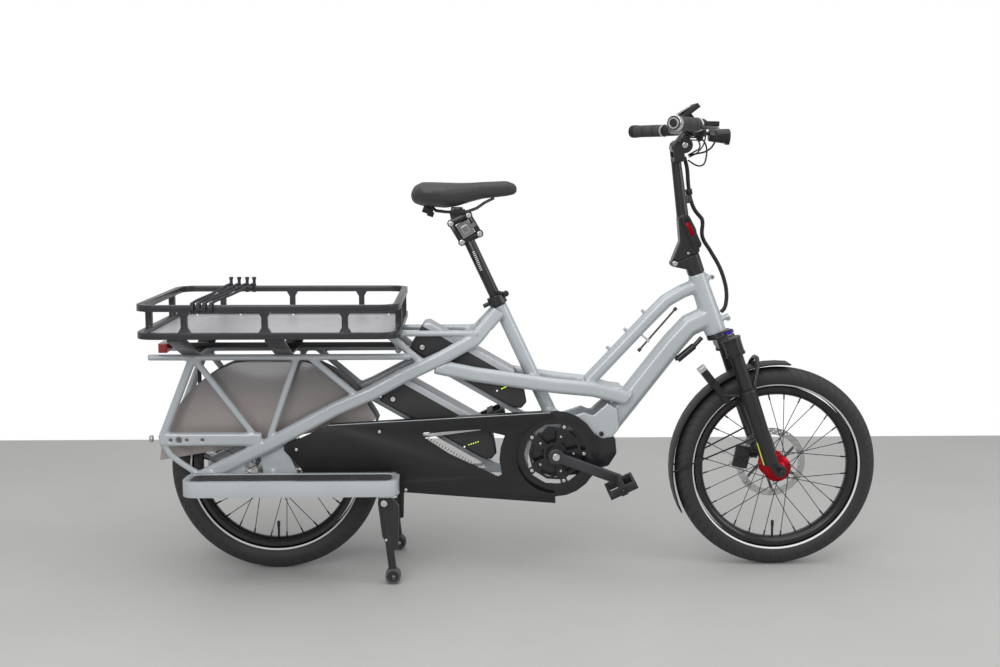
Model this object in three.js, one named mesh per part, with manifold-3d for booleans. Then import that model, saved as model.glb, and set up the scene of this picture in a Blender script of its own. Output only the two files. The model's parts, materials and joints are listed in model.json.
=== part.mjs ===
// Longtail cargo bike with a rear tray, two foot decks, a centre motor and two batteries.
// Millimetres, +Z up, +X towards the front wheel, -Y towards the chain side.
// Heights called "h" are measured from the rear axle, so the frame rises with the rear wheel.
import * as THREE from 'three';
import { mergeVertices } from 'three/addons/utils/BufferGeometryUtils.js';
import Module from 'manifold-3d';

const wasm = await Module();
wasm.setup();

// Clearances
const seatGap = 0.3;
const runGap = 0.5;

// Wheels
const wheelbase = 1274;
const rearTyreRadius = 265;
const rearTyreWidth = 62;
const frontTyreRadius = 258;
const frontTyreWidth = 55;
const beadRadius = 207;
const rimInnerRadius = 186;
const rimWidth = 34;
const spokeCount = 28;
const spokeRadius = 1.1;
const hubFlangeRadius = 35;
const hubFlangeOffset = 30;
const hubShellRadius = 21;
const driverRadius = 16;
const axleRadius = 6;
const rearHubHalfLength = 63;
const frontHubHalfLength = 46;
const rotorRadius = 90;
const rotorThickness = 2;
const rotorOffset = 38;
const rearDiscY = 47;
const rearDiscRadius = 80;
const wheelSegments = 28;

// Frame tubes
const headAngle = 70.8;
const headBottomBehindAxle = 159.5;
const headBottomH = 338;
const headTubeLength = 160;
const headTubeTopRadius = 22.5;
const headTubeBottomRadius = 28;
const steererRadius = 15;
const seatAngle = 64.8;
const seatTopX = 565;
const seatTopH = 411;
const seatTubeRadius = 18;
const seatTubeLength = 300;
const seatPostRadius = 14;
const topTubeRadius = 19;
const downTubeDepth = 56;
const downTubeWidth = 50;
const sparDepth = 36;
const sparWidth = 26;
const midTubeDepth = 38;
const rearHalfWidth = 80;
const rackRailH = 291;
const rackRailRadius = 8;
const rackRailRear = 297;
const rackRailFront = 345;
const strutRadius = 9;
const rearLegRadius = 11;
const stayH = 87;
const stayDepth = 34;
const stayRear = 275;

// Batteries
const batteryAngle = 30;
const batteryLength = 326;
const batteryWidth = 86;
const batteryHeight = 84;
const batteryPitch = 150;
const upperBatteryX = 336;
const upperBatteryH = 306;
const railDepth = 16;
const railWidth = 30;

// Drive
const crankX = 704;
const crankH = 41;
const crankLength = 165;
const crankAngle = -20.5;
const chainY = -55;
const chainWidth = 8;
const chainPitch = 12.7;
const chainringTeeth = 44;
const sprocketTeeth = 18;
const motorHalfWidth = 42;
const pedalLength = 72;
const pedalWidth = 95;
const pedalThickness = 26;
const pedalTilt = 25;

// Tray and decks
const trayLength = 614;
const trayWidth = 490;
const trayCentreX = 19;
const trayBarSize = 15;
const trayCornerRadius = 46;
const trayStandoff = 58;
const trayRailRise = 65;
const trayPostPitch = 185.4;
const trayFloorThickness = 3;
const deckRear = -203;
const deckFront = 318;
const deckInnerY = 100;
const deckOuterY = 196;
const deckHeight = 38;
const deckBottomH = -32;
const deckWall = 14;
const deckCornerRadius = 32;
const deckTubeX = 300;
const deckTubeH = -13;
const deckTubeRadius = 13;

// Stand
const standPivotX = 280;
const standPivotH = -64;
const standHalfWidth = 140;
const standLegRadius = 10.5;
const standFootRadius = 17.5;
const standFootX = 301;

// Fork and front end
const forkHalfWidth = 65;
const stanchionRadius = 17;
const stanchionOffset = 21;
const lowerLegRadius = 22;
const lowersLength = 226;
const fenderRadius = 266;
const fenderWidth = 62;

// Mast, stem and handlebar
const mastHingeBack = 46.8;
const mastHingeUp = 43.8;
const mastHeight = 240;
const mastLean = 8;
const mastTopRadius = 12.5;
const mastBottomRadius = 17;
const hoseY = 14;
const hoseRadius = 5.25;
const stemLength = 58;
const stemAngle = 54;
const barRadius = 11.1;
const barClampRadius = 15.9;
const barHalfWidth = 342;
const gripLength = 130;
const gripSweep = 34.8;
const gripRadius = 16;

// Seat linkage
const linkLength = 53.8;
const linkLean = 30.7;
const linkSpacing = 48.8;
const linkTilt = 25.6;

const degrees = Math.PI / 180;
const rearAxleZ = rearTyreRadius;

// Vectors and curves
const vec = (x, y, z) => new THREE.Vector3(x, y, z);
const at = (x, y, h) => vec(x, y, rearAxleZ + h);
const turned = (angle) => ({ c: Math.cos(angle * degrees), s: Math.sin(angle * degrees) });

// Closed solids from three.js geometry
function solid(geometry, matrix) {
  const source = geometry.clone();
  source.deleteAttribute('normal');
  source.deleteAttribute('uv');
  if (matrix) source.applyMatrix4(matrix);
  const merged = mergeVertices(source, 1e-3);
  const corners = merged.getAttribute('position').array;
  const index = merged.index.array;
  const kept = [];
  let volume = 0;
  const a = vec();
  const b = vec();
  const c = vec();
  for (let i = 0; i < index.length; i += 3) {
    const [p, q, r] = [index[i], index[i + 1], index[i + 2]];
    if (p === q || q === r || p === r) continue;
    kept.push(p, q, r);
    a.fromArray(corners, 3 * p);
    b.fromArray(corners, 3 * q);
    c.fromArray(corners, 3 * r);
    volume += a.dot(b.cross(c));
  }
  const triVerts = Uint32Array.from(kept);
  if (volume < 0) {
    for (let i = 0; i < triVerts.length; i += 3) {
      [triVerts[i + 1], triVerts[i + 2]] = [triVerts[i + 2], triVerts[i + 1]];
    }
  }
  return new wasm.Manifold(new wasm.Mesh({ numProp: 3, vertProperties: new Float32Array(corners), triVerts }));
}

const join = (...pieces) => pieces.flat().reduce((sum, piece) => sum.add(piece));
const cut = (piece, ...tools) => tools.flat().reduce((rest, tool) => rest.subtract(tool), piece);

// A matrix whose Z axis runs along a direction and whose X axis stays near the given side
function basisAlong(origin, direction, side = vec(0, 1, 0)) {
  const z = direction.clone().normalize();
  const reference = Math.abs(z.dot(side)) > 0.99 ? vec(1, 0, 0) : side;
  const y = z.clone().cross(reference).normalize();
  const x = y.clone().cross(z).normalize();
  return new THREE.Matrix4().makeBasis(x, y, z).setPosition(origin);
}

function rod(from, to, radius, sides = 12, endRadius = radius) {
  const direction = to.clone().sub(from);
  const length = direction.length();
  const geometry = new THREE.CylinderGeometry(endRadius, radius, length, sides);
  geometry.rotateX(Math.PI / 2);
  geometry.translate(0, 0, length / 2);
  return solid(geometry, basisAlong(from, direction));
}

// A rectangle with cut corners, centred on the origin
function barShape(width, depth, corner) {
  const w = width / 2;
  const d = depth / 2;
  const shape = new THREE.Shape();
  shape.moveTo(-w + corner, -d);
  shape.lineTo(w - corner, -d);
  shape.lineTo(w, -d + corner);
  shape.lineTo(w, d - corner);
  shape.lineTo(w - corner, d);
  shape.lineTo(-w + corner, d);
  shape.lineTo(-w, d - corner);
  shape.lineTo(-w, -d + corner);
  shape.closePath();
  return shape;
}

function roundShape(radius, sides, squash = 1) {
  const points = [];
  for (let i = 0; i < sides; i += 1) {
    const angle = (2 * Math.PI * (i + 0.5)) / sides;
    points.push(new THREE.Vector2(radius * Math.cos(angle), squash * radius * Math.sin(angle)));
  }
  return new THREE.Shape(points);
}

function beam(from, to, width, depth, corner = 5) {
  const direction = to.clone().sub(from);
  const geometry = new THREE.ExtrudeGeometry(barShape(width, depth, corner), {
    depth: direction.length(),
    bevelEnabled: false,
  });
  return solid(geometry, basisAlong(from, direction));
}

function sweep(points, shape, steps) {
  const path = new THREE.CatmullRomCurve3(points, false, 'centripetal');
  return solid(new THREE.ExtrudeGeometry(shape, { steps, extrudePath: path, curveSegments: 8 }));
}

const rounded = (radius, sides = 10) => roundShape(radius, sides);

function ring(profile, segments = wheelSegments, centre = vec(0, 0, 0)) {
  const points = profile.map(([r, y]) => new THREE.Vector2(r, y));
  points.push(points[0].clone());
  const geometry = new THREE.LatheGeometry(points, segments);
  return solid(geometry, new THREE.Matrix4().makeTranslation(centre.x, centre.y, centre.z));
}

// A cylinder across the bike, from one Y to another
function cross(x, z, radius, yFrom, yTo, sides = 16) {
  return rod(vec(x, yFrom, z), vec(x, yTo, z), radius, sides);
}

function block(centre, size, tilt = 0) {
  const matrix = new THREE.Matrix4().makeRotationY(tilt * degrees).setPosition(centre);
  return solid(new THREE.BoxGeometry(size.x, size.y, size.z), matrix);
}

// An outline in the side view, given as [x, z] points, with thickness across the bike
function sidePlate(points, yFrom, yTo, holes = []) {
  const shape = new THREE.Shape(points.map(([x, z]) => new THREE.Vector2(x, z)));
  for (const hole of holes) shape.holes.push(hole);
  const geometry = new THREE.ExtrudeGeometry(shape, { depth: yTo - yFrom, bevelEnabled: false, curveSegments: 8 });
  const matrix = new THREE.Matrix4().makeTranslation(0, yTo, 0);
  return solid(geometry, matrix.multiply(new THREE.Matrix4().makeRotationX(Math.PI / 2)));
}

// A rounded rectangle seen from above
function planShape(x0, x1, y0, y1, radius, Type = THREE.Shape) {
  const shape = new Type();
  shape.moveTo(x0 + radius, y0);
  shape.lineTo(x1 - radius, y0);
  shape.absarc(x1 - radius, y0 + radius, radius, -Math.PI / 2, 0);
  shape.lineTo(x1, y1 - radius);
  shape.absarc(x1 - radius, y1 - radius, radius, 0, Math.PI / 2);
  shape.lineTo(x0 + radius, y1);
  shape.absarc(x0 + radius, y1 - radius, radius, Math.PI / 2, Math.PI);
  shape.lineTo(x0, y0 + radius);
  shape.absarc(x0 + radius, y0 + radius, radius, Math.PI, 1.5 * Math.PI);
  return shape;
}

function planPlate(shape, zFrom, zTo, curveSegments = 2) {
  const geometry = new THREE.ExtrudeGeometry(shape, { depth: zTo - zFrom, bevelEnabled: false, curveSegments });
  return solid(geometry, new THREE.Matrix4().makeTranslation(0, 0, zFrom));
}

function planLoop(x0, x1, y0, y1, radius, wall, zFrom, zTo) {
  const shape = planShape(x0, x1, y0, y1, radius);
  shape.holes.push(planShape(x0 + wall, x1 - wall, y0 + wall, y1 - wall, radius - wall, THREE.Path));
  return planPlate(shape, zFrom, zTo);
}

// Finishes
const finish = (color, roughness, metalness) => new THREE.MeshStandardMaterial({ color, roughness, metalness });
const framePaint = finish('#b4bcc2', 0.35, 0.1);
const blackMetal = finish('#1d1d20', 0.45, 0.5);
const trayPaint = finish('#2c2c30', 0.5, 0.3);
const platePaint = finish('#b9babd', 0.55, 0.2);
const blackPlastic = finish('#17171a', 0.6, 0);
const tyreRubber = finish('#1b1b1c', 0.85, 0);
const softBlack = finish('#202022', 0.8, 0);
const smokedPanel = finish('#6f675f', 0.35, 0);
const redMetal = finish('#c2141c', 0.3, 0.6);
const steel = finish('#9a9a9c', 0.3, 0.9);
const lampRed = finish('#8e1216', 0.25, 0);

// The parts, gathered into one group whose origin lies under the middle of the bike
const bike = new THREE.Group();

function addPiece(name, piece, material, parent = bike) {
  const mesh = piece.getMesh();
  const geometry = new THREE.BufferGeometry();
  geometry.setAttribute('position', new THREE.BufferAttribute(new Float32Array(mesh.vertProperties), 3));
  geometry.setIndex(new THREE.BufferAttribute(new Uint32Array(mesh.triVerts), 1));
  geometry.computeVertexNormals();
  const node = new THREE.Mesh(geometry, material);
  node.name = name;
  parent.add(node);
}

// Head tube axis: "along" runs down from the bottom of the head tube, "ahead" runs forwards from it
const head = turned(headAngle);
const headBottom = at(wheelbase - headBottomBehindAxle, 0, headBottomH);
const alongHead = (along, ahead, y = 0) =>
  vec(headBottom.x + head.c * along + head.s * ahead, y, headBottom.z - head.s * along + head.c * ahead);
const frontAxle = vec(wheelbase, 0, frontTyreRadius);
const axleAlong = (frontAxle.x - headBottom.x) * head.c + (headBottom.z - frontAxle.z) * head.s;
const axleAhead = (frontAxle.x - headBottom.x) * head.s - (headBottom.z - frontAxle.z) * head.c;

// Seat tube axis: "rise" runs up from the top of the seat tube
const seat = turned(seatAngle);
const seatTop = at(seatTopX, 0, seatTopH);
const alongSeat = (rise, ahead = 0, y = 0) =>
  vec(seatTop.x - seat.c * rise + seat.s * ahead, y, seatTop.z + seat.s * rise + seat.c * ahead);

// Battery axes: "down" runs along the battery towards the front, "lift" stands square to its rail
const battery = turned(batteryAngle);
const alongBattery = (down, lift, y = 0) =>
  vec(
    upperBatteryX + battery.c * down + battery.s * lift,
    y,
    rearAxleZ + upperBatteryH - battery.s * down + battery.c * lift,
  );

// Wheels
function tyre(radius, width) {
  const half = width / 2;
  const profile = [];
  const bead = Math.acos((beadRadius + seatGap - radius + half) / half);
  const points = 6;
  for (let i = 0; i <= points; i += 1) {
    const angle = -bead + (2 * bead * i) / points;
    profile.push([radius - half + half * Math.cos(angle), half * Math.sin(angle)]);
  }
  return ring(profile);
}

function rim() {
  const half = rimWidth / 2;
  const well = half * 0.5;
  const shoulder = rimInnerRadius + 10;
  return ring([
    [beadRadius, -half],
    [beadRadius, half],
    [shoulder, half],
    [rimInnerRadius, well],
    [rimInnerRadius, -well],
    [shoulder, -half],
  ]);
}

// Each flange holds half the spokes, leaning alternately forwards and back, and a band joins their ends
function spokes() {
  const pieces = [];
  const holeRadius = hubFlangeRadius - 1.5;
  const lean = 52;
  for (let i = 0; i < spokeCount; i += 1) {
    const flange = i % 2 === 0 ? 1 : -1;
    const trailing = Math.floor(i / 2) % 2 === 0 ? 1 : -1;
    const rimAngle = ((i + 0.5) * 360) / spokeCount;
    const outer = turned(rimAngle);
    const inner = turned(rimAngle + trailing * lean);
    const y = flange * (hubFlangeOffset + trailing * 3.4);
    const rimY = flange * 3;
    const reach = rimInnerRadius * Math.cos(Math.PI / wheelSegments) - 1;
    pieces.push(
      rod(
        vec(holeRadius * inner.c, y, holeRadius * inner.s),
        vec(reach * outer.c, rimY, reach * outer.s),
        spokeRadius,
        3,
      ),
    );
  }
  const band = ring([
    [rimInnerRadius - 3.2, 0],
    [rimInnerRadius - seatGap, -6],
    [rimInnerRadius - seatGap, 6],
  ]);
  return join(...pieces, band);
}

// A hub shell turned about Y, with an axle bore right through
function hub(halfLength, driverRadius, driverFrom) {
  const f = hubFlangeOffset;
  const bore = axleRadius + runGap;
  const profile = [
    [bore, -halfLength],
    [driverRadius, -halfLength],
    [driverRadius, driverFrom],
    [hubShellRadius, driverFrom + 3],
    [hubShellRadius, -f - 6],
    [hubFlangeRadius, -f - 1.5],
    [hubFlangeRadius, -f + 1.5],
    [hubShellRadius, -f + 5],
    [hubShellRadius, f - 5],
    [hubFlangeRadius, f - 1.5],
    [hubFlangeRadius, f + 1.5],
    [driverRadius, f + 6],
    [driverRadius, halfLength],
    [bore, halfLength],
  ];
  return ring(profile, 12);
}

// A brake disc with six arms and a drilled-looking braking ring
function rotor(y) {
  const shape = new THREE.Shape();
  shape.absarc(0, 0, rotorRadius, 0, 2 * Math.PI);
  const windows = 6;
  const innerRadius = hubShellRadius + 7;
  const outerRadius = rotorRadius - 17;
  for (let i = 0; i < windows; i += 1) {
    const from = (i * 360) / windows;
    const window = new THREE.Path();
    const a = turned(from + 8);
    const b = turned(from + 40);
    const c = turned(from + 54);
    const d = turned(from + 22);
    window.moveTo(innerRadius * a.c, innerRadius * a.s);
    window.lineTo(innerRadius * b.c, innerRadius * b.s);
    window.lineTo(outerRadius * c.c, outerRadius * c.s);
    window.lineTo(outerRadius * turned(from + 38).c, outerRadius * turned(from + 38).s);
    window.lineTo(outerRadius * d.c, outerRadius * d.s);
    window.closePath();
    shape.holes.push(window);
  }
  const bore = new THREE.Path();
  bore.absarc(0, 0, driverRadius + seatGap, 0, 2 * Math.PI);
  shape.holes.push(bore);
  const geometry = new THREE.ExtrudeGeometry(shape, {
    depth: rotorThickness,
    bevelEnabled: false,
    curveSegments: 14,
  });
  const matrix = new THREE.Matrix4().makeTranslation(0, y + rotorThickness, 0);
  return solid(geometry, matrix.multiply(new THREE.Matrix4().makeRotationX(Math.PI / 2)));
}

// A toothed wheel in the side view: one tooth is a root and a tip
function toothedShape(teeth) {
  const pitchRadius = chainPitch / (2 * Math.sin(Math.PI / teeth));
  const root = pitchRadius - 3.8;
  const tip = pitchRadius + 3.2;
  const shape = new THREE.Shape();
  for (let i = 0; i < teeth; i += 1) {
    const step = 360 / teeth;
    const corners = [
      [root, 0.1],
      [tip, 0.5],
    ];
    corners.forEach(([radius, part], k) => {
      const p = turned((i + part) * step);
      if (i === 0 && k === 0) shape.moveTo(radius * p.c, radius * p.s);
      else shape.lineTo(radius * p.c, radius * p.s);
    });
  }
  shape.closePath();
  return shape;
}

const pitchRadiusOf = (teeth) => chainPitch / (2 * Math.sin(Math.PI / teeth));

// Side-view outlines are given as [x, h] points
const outline = (points) => points.map(([x, h]) => [x, rearAxleZ + h]);
const path = (points, side = 1) => points.map(([x, y, h]) => at(x, side * y, h));
const bothSides = (make) => [make(-1), make(1)];

// An outline seen from behind, given as [y, h] points, with thickness along the bike
function endPlate(points, xFrom, xTo) {
  const shape = new THREE.Shape(points.map(([y, h]) => new THREE.Vector2(y, rearAxleZ + h)));
  const geometry = new THREE.ExtrudeGeometry(shape, { depth: xTo - xFrom, bevelEnabled: false });
  const matrix = new THREE.Matrix4().makeBasis(vec(0, 1, 0), vec(0, 0, 1), vec(1, 0, 0));
  return solid(geometry, matrix.setPosition(xFrom, 0, 0));
}

// A closed solid through rings of equally many points
function loft(rings) {
  const count = rings[0].length;
  const corners = rings.flat().flatMap((p) => [p.x, p.y, p.z]);
  const faces = [];
  for (let i = 0; i < rings.length - 1; i += 1) {
    for (let k = 0; k < count; k += 1) {
      const a = i * count + k;
      const b = i * count + ((k + 1) % count);
      faces.push(a, b, b + count, a, b + count, a + count);
    }
  }
  const last = (rings.length - 1) * count;
  for (let k = 1; k < count - 1; k += 1) {
    faces.push(0, k + 1, k, last, last + k, last + k + 1);
  }
  const geometry = new THREE.BufferGeometry();
  geometry.setAttribute('position', new THREE.BufferAttribute(new Float32Array(corners), 3));
  geometry.setIndex(faces);
  return solid(geometry);
}

const rearWheel = new THREE.Group();
rearWheel.position.set(0, 0, rearAxleZ);
bike.add(rearWheel);
const frontWheel = new THREE.Group();
frontWheel.position.copy(frontAxle);
bike.add(frontWheel);

addPiece('rear_tyre', tyre(rearTyreRadius, rearTyreWidth), tyreRubber, rearWheel);
addPiece('rear_rim', rim(), blackMetal, rearWheel);
addPiece('rear_spokes', spokes(), blackMetal, rearWheel);
addPiece('front_tyre', tyre(frontTyreRadius, frontTyreWidth), tyreRubber, frontWheel);
addPiece('front_rim', rim(), blackMetal, frontWheel);
addPiece('front_spokes', spokes(), blackMetal, frontWheel);
addPiece('front_hub', hub(frontHubHalfLength, driverRadius, -frontHubHalfLength + 2), redMetal, frontWheel);
addPiece('front_rotor', rotor(rotorOffset), steel, frontWheel);

const rearDisc = ring(
  [
    [driverRadius - 2, rearDiscY],
    [rearDiscRadius, rearDiscY],
    [rearDiscRadius, rearDiscY + rotorThickness],
    [driverRadius - 2, rearDiscY + rotorThickness],
  ],
  24,
);
addPiece('rear_hub', join(hub(rearHubHalfLength, driverRadius, chainY + 7), rearDisc), redMetal, rearWheel);

// Rear sprocket on its own freewheel
const toothThickness = 2.4;
function toothedPlate(teeth, boreRadius, holes = []) {
  const shape = toothedShape(teeth);
  const bore = new THREE.Path();
  bore.absarc(0, 0, boreRadius, 0, 2 * Math.PI);
  shape.holes.push(bore, ...holes);
  const geometry = new THREE.ExtrudeGeometry(shape, {
    depth: toothThickness,
    bevelEnabled: false,
    curveSegments: 12,
  });
  const matrix = new THREE.Matrix4().makeTranslation(0, chainY + toothThickness / 2, 0);
  return solid(geometry, matrix.multiply(new THREE.Matrix4().makeRotationX(Math.PI / 2)));
}
const freewheelBore = driverRadius + runGap;
const freewheelRing = ring(
  [
    [freewheelBore, chainY - 5],
    [freewheelBore + 5, chainY - 5],
    [freewheelBore + 5, chainY + 5],
    [freewheelBore, chainY + 5],
  ],
  20,
);
const sprocket = join(toothedPlate(sprocketTeeth, freewheelBore + 2), freewheelRing);
addPiece('rear_sprocket', sprocket, steel, rearWheel);

const deckZ = rearAxleZ + deckBottomH;
// Stand brackets under the decks, each with a lug for the stand's cross tube
const standPivot = at(standPivotX, 0, standPivotH);
const crossTubeRadius = 12;
const standBracket = (side) => {
  const plateTop = deckZ - seatGap;
  const plate = block(vec(289, side * 147, plateTop - 2.5), vec(54, 86, 5));
  const lug = sidePlate(
    [
      [262, plateTop - 1],
      [312, plateTop - 1],
      [standPivot.x + 18, standPivot.z - 10],
      [standPivot.x + 8, standPivot.z - 18],
      [standPivot.x - 8, standPivot.z - 18],
      [standPivot.x - 18, standPivot.z - 8],
    ],
    Math.min(side * 118, side * 125),
    Math.max(side * 118, side * 125),
  );
  const bore = cross(standPivot.x, standPivot.z, crossTubeRadius + runGap, side * 100, side * 128, 12);
  const webZ = plateTop - 3;
  const tubeZ = rearAxleZ + deckTubeH;
  const web = block(vec(deckTubeX, side * 92, (webZ + tubeZ) / 2), vec(14, 14, tubeZ - webZ));
  const sole = block(vec(deckTubeX - 4, side * 95, plateTop - 2.5), vec(32, 20, 5));
  return cut(join(plate, lug, web, sole), bore);
};

// Main tubes
const topTubeFoot = [crankX + 86, 0, 213];
const topTubeBends = [alongHead(-108, -119), alongHead(-125, -80), alongHead(-130, -29), alongHead(-131, 0)];
const topTube = sweep([...path([topTubeFoot]), ...topTubeBends], rounded(topTubeRadius, 8), 8);
const downTubeFoot = (grow) => path([
    [crankX + 116 - 0.6 * grow, 0, 73 - 0.8 * grow],
    [crankX + 139.9, 0, 104.9],
    [crankX + 192.2, 0, 173.2],
  ]);
const downTubeBends = [alongHead(-13.5, -110), alongHead(-39, -67), alongHead(-44.5, -28), alongHead(-47, 0)];
const downTubeSolid = (grow) =>
  sweep(
    [...downTubeFoot(grow), ...downTubeBends],
    barShape(downTubeWidth + grow, downTubeDepth + grow, 14),
    7,
  );
const headTube = rod(
  alongHead(0, 0),
  alongHead(-headTubeLength, 0),
  headTubeBottomRadius,
  16,
  headTubeTopRadius,
);
const headBore = rod(alongHead(5, 0), alongHead(-headTubeLength - 5, 0), steererRadius + runGap, 16);
const lugUpper = sidePlateOnHead(-141, 26);
const lugLower = sidePlateOnHead(-30, 42);

// A small drilled lug on the front of the head tube, where a carrier can be bolted
function sidePlateOnHead(along, ahead) {
  const base = alongHead(along, 0);
  const tip = alongHead(along, ahead - 1);
  const face = alongHead(along, ahead + 3);
  return [rod(base, alongHead(along, ahead), 8, 6), rod(tip, face, 10, 8)];
}

const seatTube = rod(alongSeat(0), alongSeat(-seatTubeLength), seatTubeRadius, 16);
const seatBore = rod(alongSeat(5), alongSeat(-seatTubeLength + 15), seatPostRadius + seatGap, 16);
const midTubeSolid = (side) =>
  sweep(
    path(
      [
        [405, 68, 265],
        [478.4, 62, 247.7],
        [574.6, 60.5, 232.5],
        [crankX + 27.4, 53, 208.5],
        [crankX + 165.7, 38, 191.4],
        [crankX + 185, 30, 176],
      ],
      side,
    ),
    barShape(sparWidth, midTubeDepth, 8),
    5,
  );
const sparPoints = [
  [-179.7, 80, -11.7],
  [-39.7, 80, 56],
  [37.6, 80, 96],
  [174.5, 80, 169.7],
  [268.6, 78, 210],
  [377.8, 70, 269.7],
  [440, 66, 293],
  [490, 58, 321],
  [538.4, 38, 362.4],
  [562, 24, 396],
];
const sparSolid = (side, grow = 0) =>
  sweep(path(sparPoints, side), barShape(sparWidth + grow, sparDepth + grow, 7), 9);

// Battery rails and the tubes that carry them
const upperRailLift = -seatGap;
const lowerRailLift = -batteryPitch - seatGap;
const railBeam = (lift, from, to) =>
  beam(
    alongBattery(from, lift - railDepth / 2),
    alongBattery(to, lift - railDepth / 2),
    railWidth,
    railDepth,
    3,
  );
const upperRail = railBeam(upperRailLift, -20, 345);
const lowerRail = railBeam(lowerRailLift, -15, 372);
const motorBack = crankX - 62;
const bellyH = -8;
const mainTubes = [
  topTube,
  downTubeSolid(0),
  headTube,
  ...lugUpper,
  ...lugLower,
  seatTube,
  ...bothSides((side) => cut(midTubeSolid(side), sparSolid(side, 2 * seatGap))),
  block(at(crankX + 121, 0, 197), vec(100, 84, 26), 6),
  cross(crankX - 56, rearAxleZ + 224, 12, -58, 58, 8),
  cross(crankX - 7, rearAxleZ + 131, 18, -48, 48, 8),
  upperRail,
  lowerRail,
  rod(alongBattery(340, -8), at(crankX - 12, 0, 128), 9, 8),
  cross(313, rearAxleZ + 303, 9, -58, 58, 8),
  cross(240, rearAxleZ + 186, 10, -64, 64, 8),
  cross(crankX - 76, rearAxleZ + bellyH, 10, -46, 46, 8),
  rod(at(motorBack - 1.3, 0, bellyH), at(deckTubeX - 5, 0, deckTubeH), deckTubeRadius, 8),
  cross(deckTubeX, rearAxleZ + deckTubeH, deckTubeRadius, -deckInnerY + seatGap, deckInnerY - seatGap, 8),
  ...bothSides(standBracket),
];

// Plates beside the motor, from the seat tube round to the foot of the down tube
const motorPlate = (side) => {
  const inner = side * (motorHalfWidth + seatGap);
  const outer = side * (motorHalfWidth + 6);
  return sidePlate(
    outline([
      [-26, 138], [8, 138], [20, 128], [53, 138], [72, 145], [96, 136], [132, 168], [158, 150],
      [164, 100], [146, 78], [120, 74], [102, 84], [66, 100], [-20, 106], [-66, 40], [-66, -18],
      [-86, -18], [-86, 50],
    ].map(([ahead, h]) => [crankX + ahead, h])),
    Math.min(inner, outer),
    Math.max(inner, outer),
  );
};
const mainFrame = cut(
  join([...mainTubes, ...bothSides(motorPlate)]),
  headBore,
  seatBore,
);
addPiece('main_frame', mainFrame, framePaint);

// Side frames: spar, rack rail, stay, struts, dropout and half of the rear axle
function sideFrame(side) {
  const y = rearHalfWidth;
  const p = (x, h, yOffset = 0) => at(x, side * (y + yOffset), h);
  const plate = (points, from, to) =>
    sidePlate(outline(points), Math.min(side * from, side * to), Math.max(side * from, side * to));
  const pieces = [
    sparSolid(side),
    rod(p(-rackRailRear, rackRailH), p(rackRailFront, rackRailH), rackRailRadius, 8),
    rod(p(-188, rackRailH), p(-stayRear + 5, stayH), rearLegRadius, 8),
    beam(p(-stayRear, stayH), p(-24, stayH - 1), 22, stayDepth, 5),
    sweep(
      [p(-266, 76), p(-264.5, 64.8), p(-237.2, 36.8), p(-186.7, 1), p(-172, -8)],
      rounded(8.5, 6),
      4,
    ),
    rod(p(-187, rackRailH), p(-45, 98), strutRadius, 6),
    rod(p(66, rackRailH), p(-4, 92), strutRadius, 6),
    rod(p(97, rackRailH), p(208, 196), strutRadius, 6),
    rod(at(292, side * 62, 341), at(378, side * 70, 270), 10, 6),
    rod(at(289, side * 60, 346), at(512, side * 60, 346), 8.5, 6),
    rod(p(rackRailFront - 4, rackRailH), at(338, side * 66, 302), 6, 8),
    plate([[-190, -16], [-66, -30], [-66, 34], [-120, 14], [-184, -8]], y - 4, y + 4),
    plate([[-34, 62], [24, 88], [62, -4], [54, -24], [-20, -24], [-26, 6]], y - 14, y - 6),
    rod(p(-150, -2), at(-150, side * (deckInnerY - seatGap), -2), 10, 6),
    cross(0, rearAxleZ, axleRadius, side * 0.2, side * (y - 1), 8),
  ];
  const holes = [
    [-246.3, 5],
    [-226.5, 8],
    [-207, 5],
    [-168.6, 5],
  ].map(([x, r]) => cross(x, rearAxleZ + stayH - 1, r, side * (y - 15), side * (y + 15), 8));
  const seatClearance = rod(alongSeat(8), alongSeat(-60), seatTubeRadius + seatGap, 16);
  const batteryBay = block(at(470, 0, 290), vec(300, batteryWidth + 4, 180), batteryAngle);
  return cut(join(pieces), holes, seatClearance, batteryBay);
}
addPiece('side_frame_right', sideFrame(-1), framePaint);
addPiece('side_frame_left', sideFrame(1), framePaint);

// Tray
const trayBottomH = rackRailH + rackRailRadius + trayStandoff;
const trayTopH = trayBottomH + trayRailRise;
const trayX0 = trayCentreX - trayLength / 2;
const trayX1 = trayCentreX + trayLength / 2;
const trayY = trayWidth / 2;
const trayZ0 = rearAxleZ + trayBottomH;
const trayZ1 = rearAxleZ + trayTopH;
const trayLoop = (z) =>
  planLoop(trayX0, trayX1, -trayY, trayY, trayCornerRadius, trayBarSize, z, z + trayBarSize);
const sidePost = (x, side) => {
  const low = trayBottomH + trayBarSize - 1;
  const high = trayTopH + 1;
  const wall = side * trayY;
  const inner = side * (trayY - trayBarSize);
  return sidePlate(
    outline([
      [x - 15, low], [x + 15, low], [x + 7, low + 14], [x + 7, high - 14], [x + 15, high],
      [x - 15, high], [x - 7, high - 14], [x - 7, low + 14],
    ]),
    Math.min(wall, inner),
    Math.max(wall, inner),
  );
};
const endPost = (x, y) => {
  const middle = (trayBottomH + trayBarSize + trayTopH) / 2;
  const height = trayTopH - trayBottomH - trayBarSize + 2;
  return block(at(x, y, middle), vec(trayBarSize, 14, height));
};
const armTop = rackRailH + rackRailRadius + seatGap + 6;
const arm = (x) =>
  endPlate(
    [
      [-trayY + 7, trayBottomH + 2], [-rearHalfWidth - 12, armTop], [rearHalfWidth + 12, armTop],
      [trayY - 7, trayBottomH + 2], [trayY - 5, trayBottomH - 5], [rearHalfWidth + 10, armTop - 6],
      [-rearHalfWidth - 10, armTop - 6], [-trayY + 5, trayBottomH - 5],
    ],
    x - 22,
    x + 22,
  );
const spine = block(at(trayCentreX, 0, armTop + 5), vec(562, 12, 12));
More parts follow.
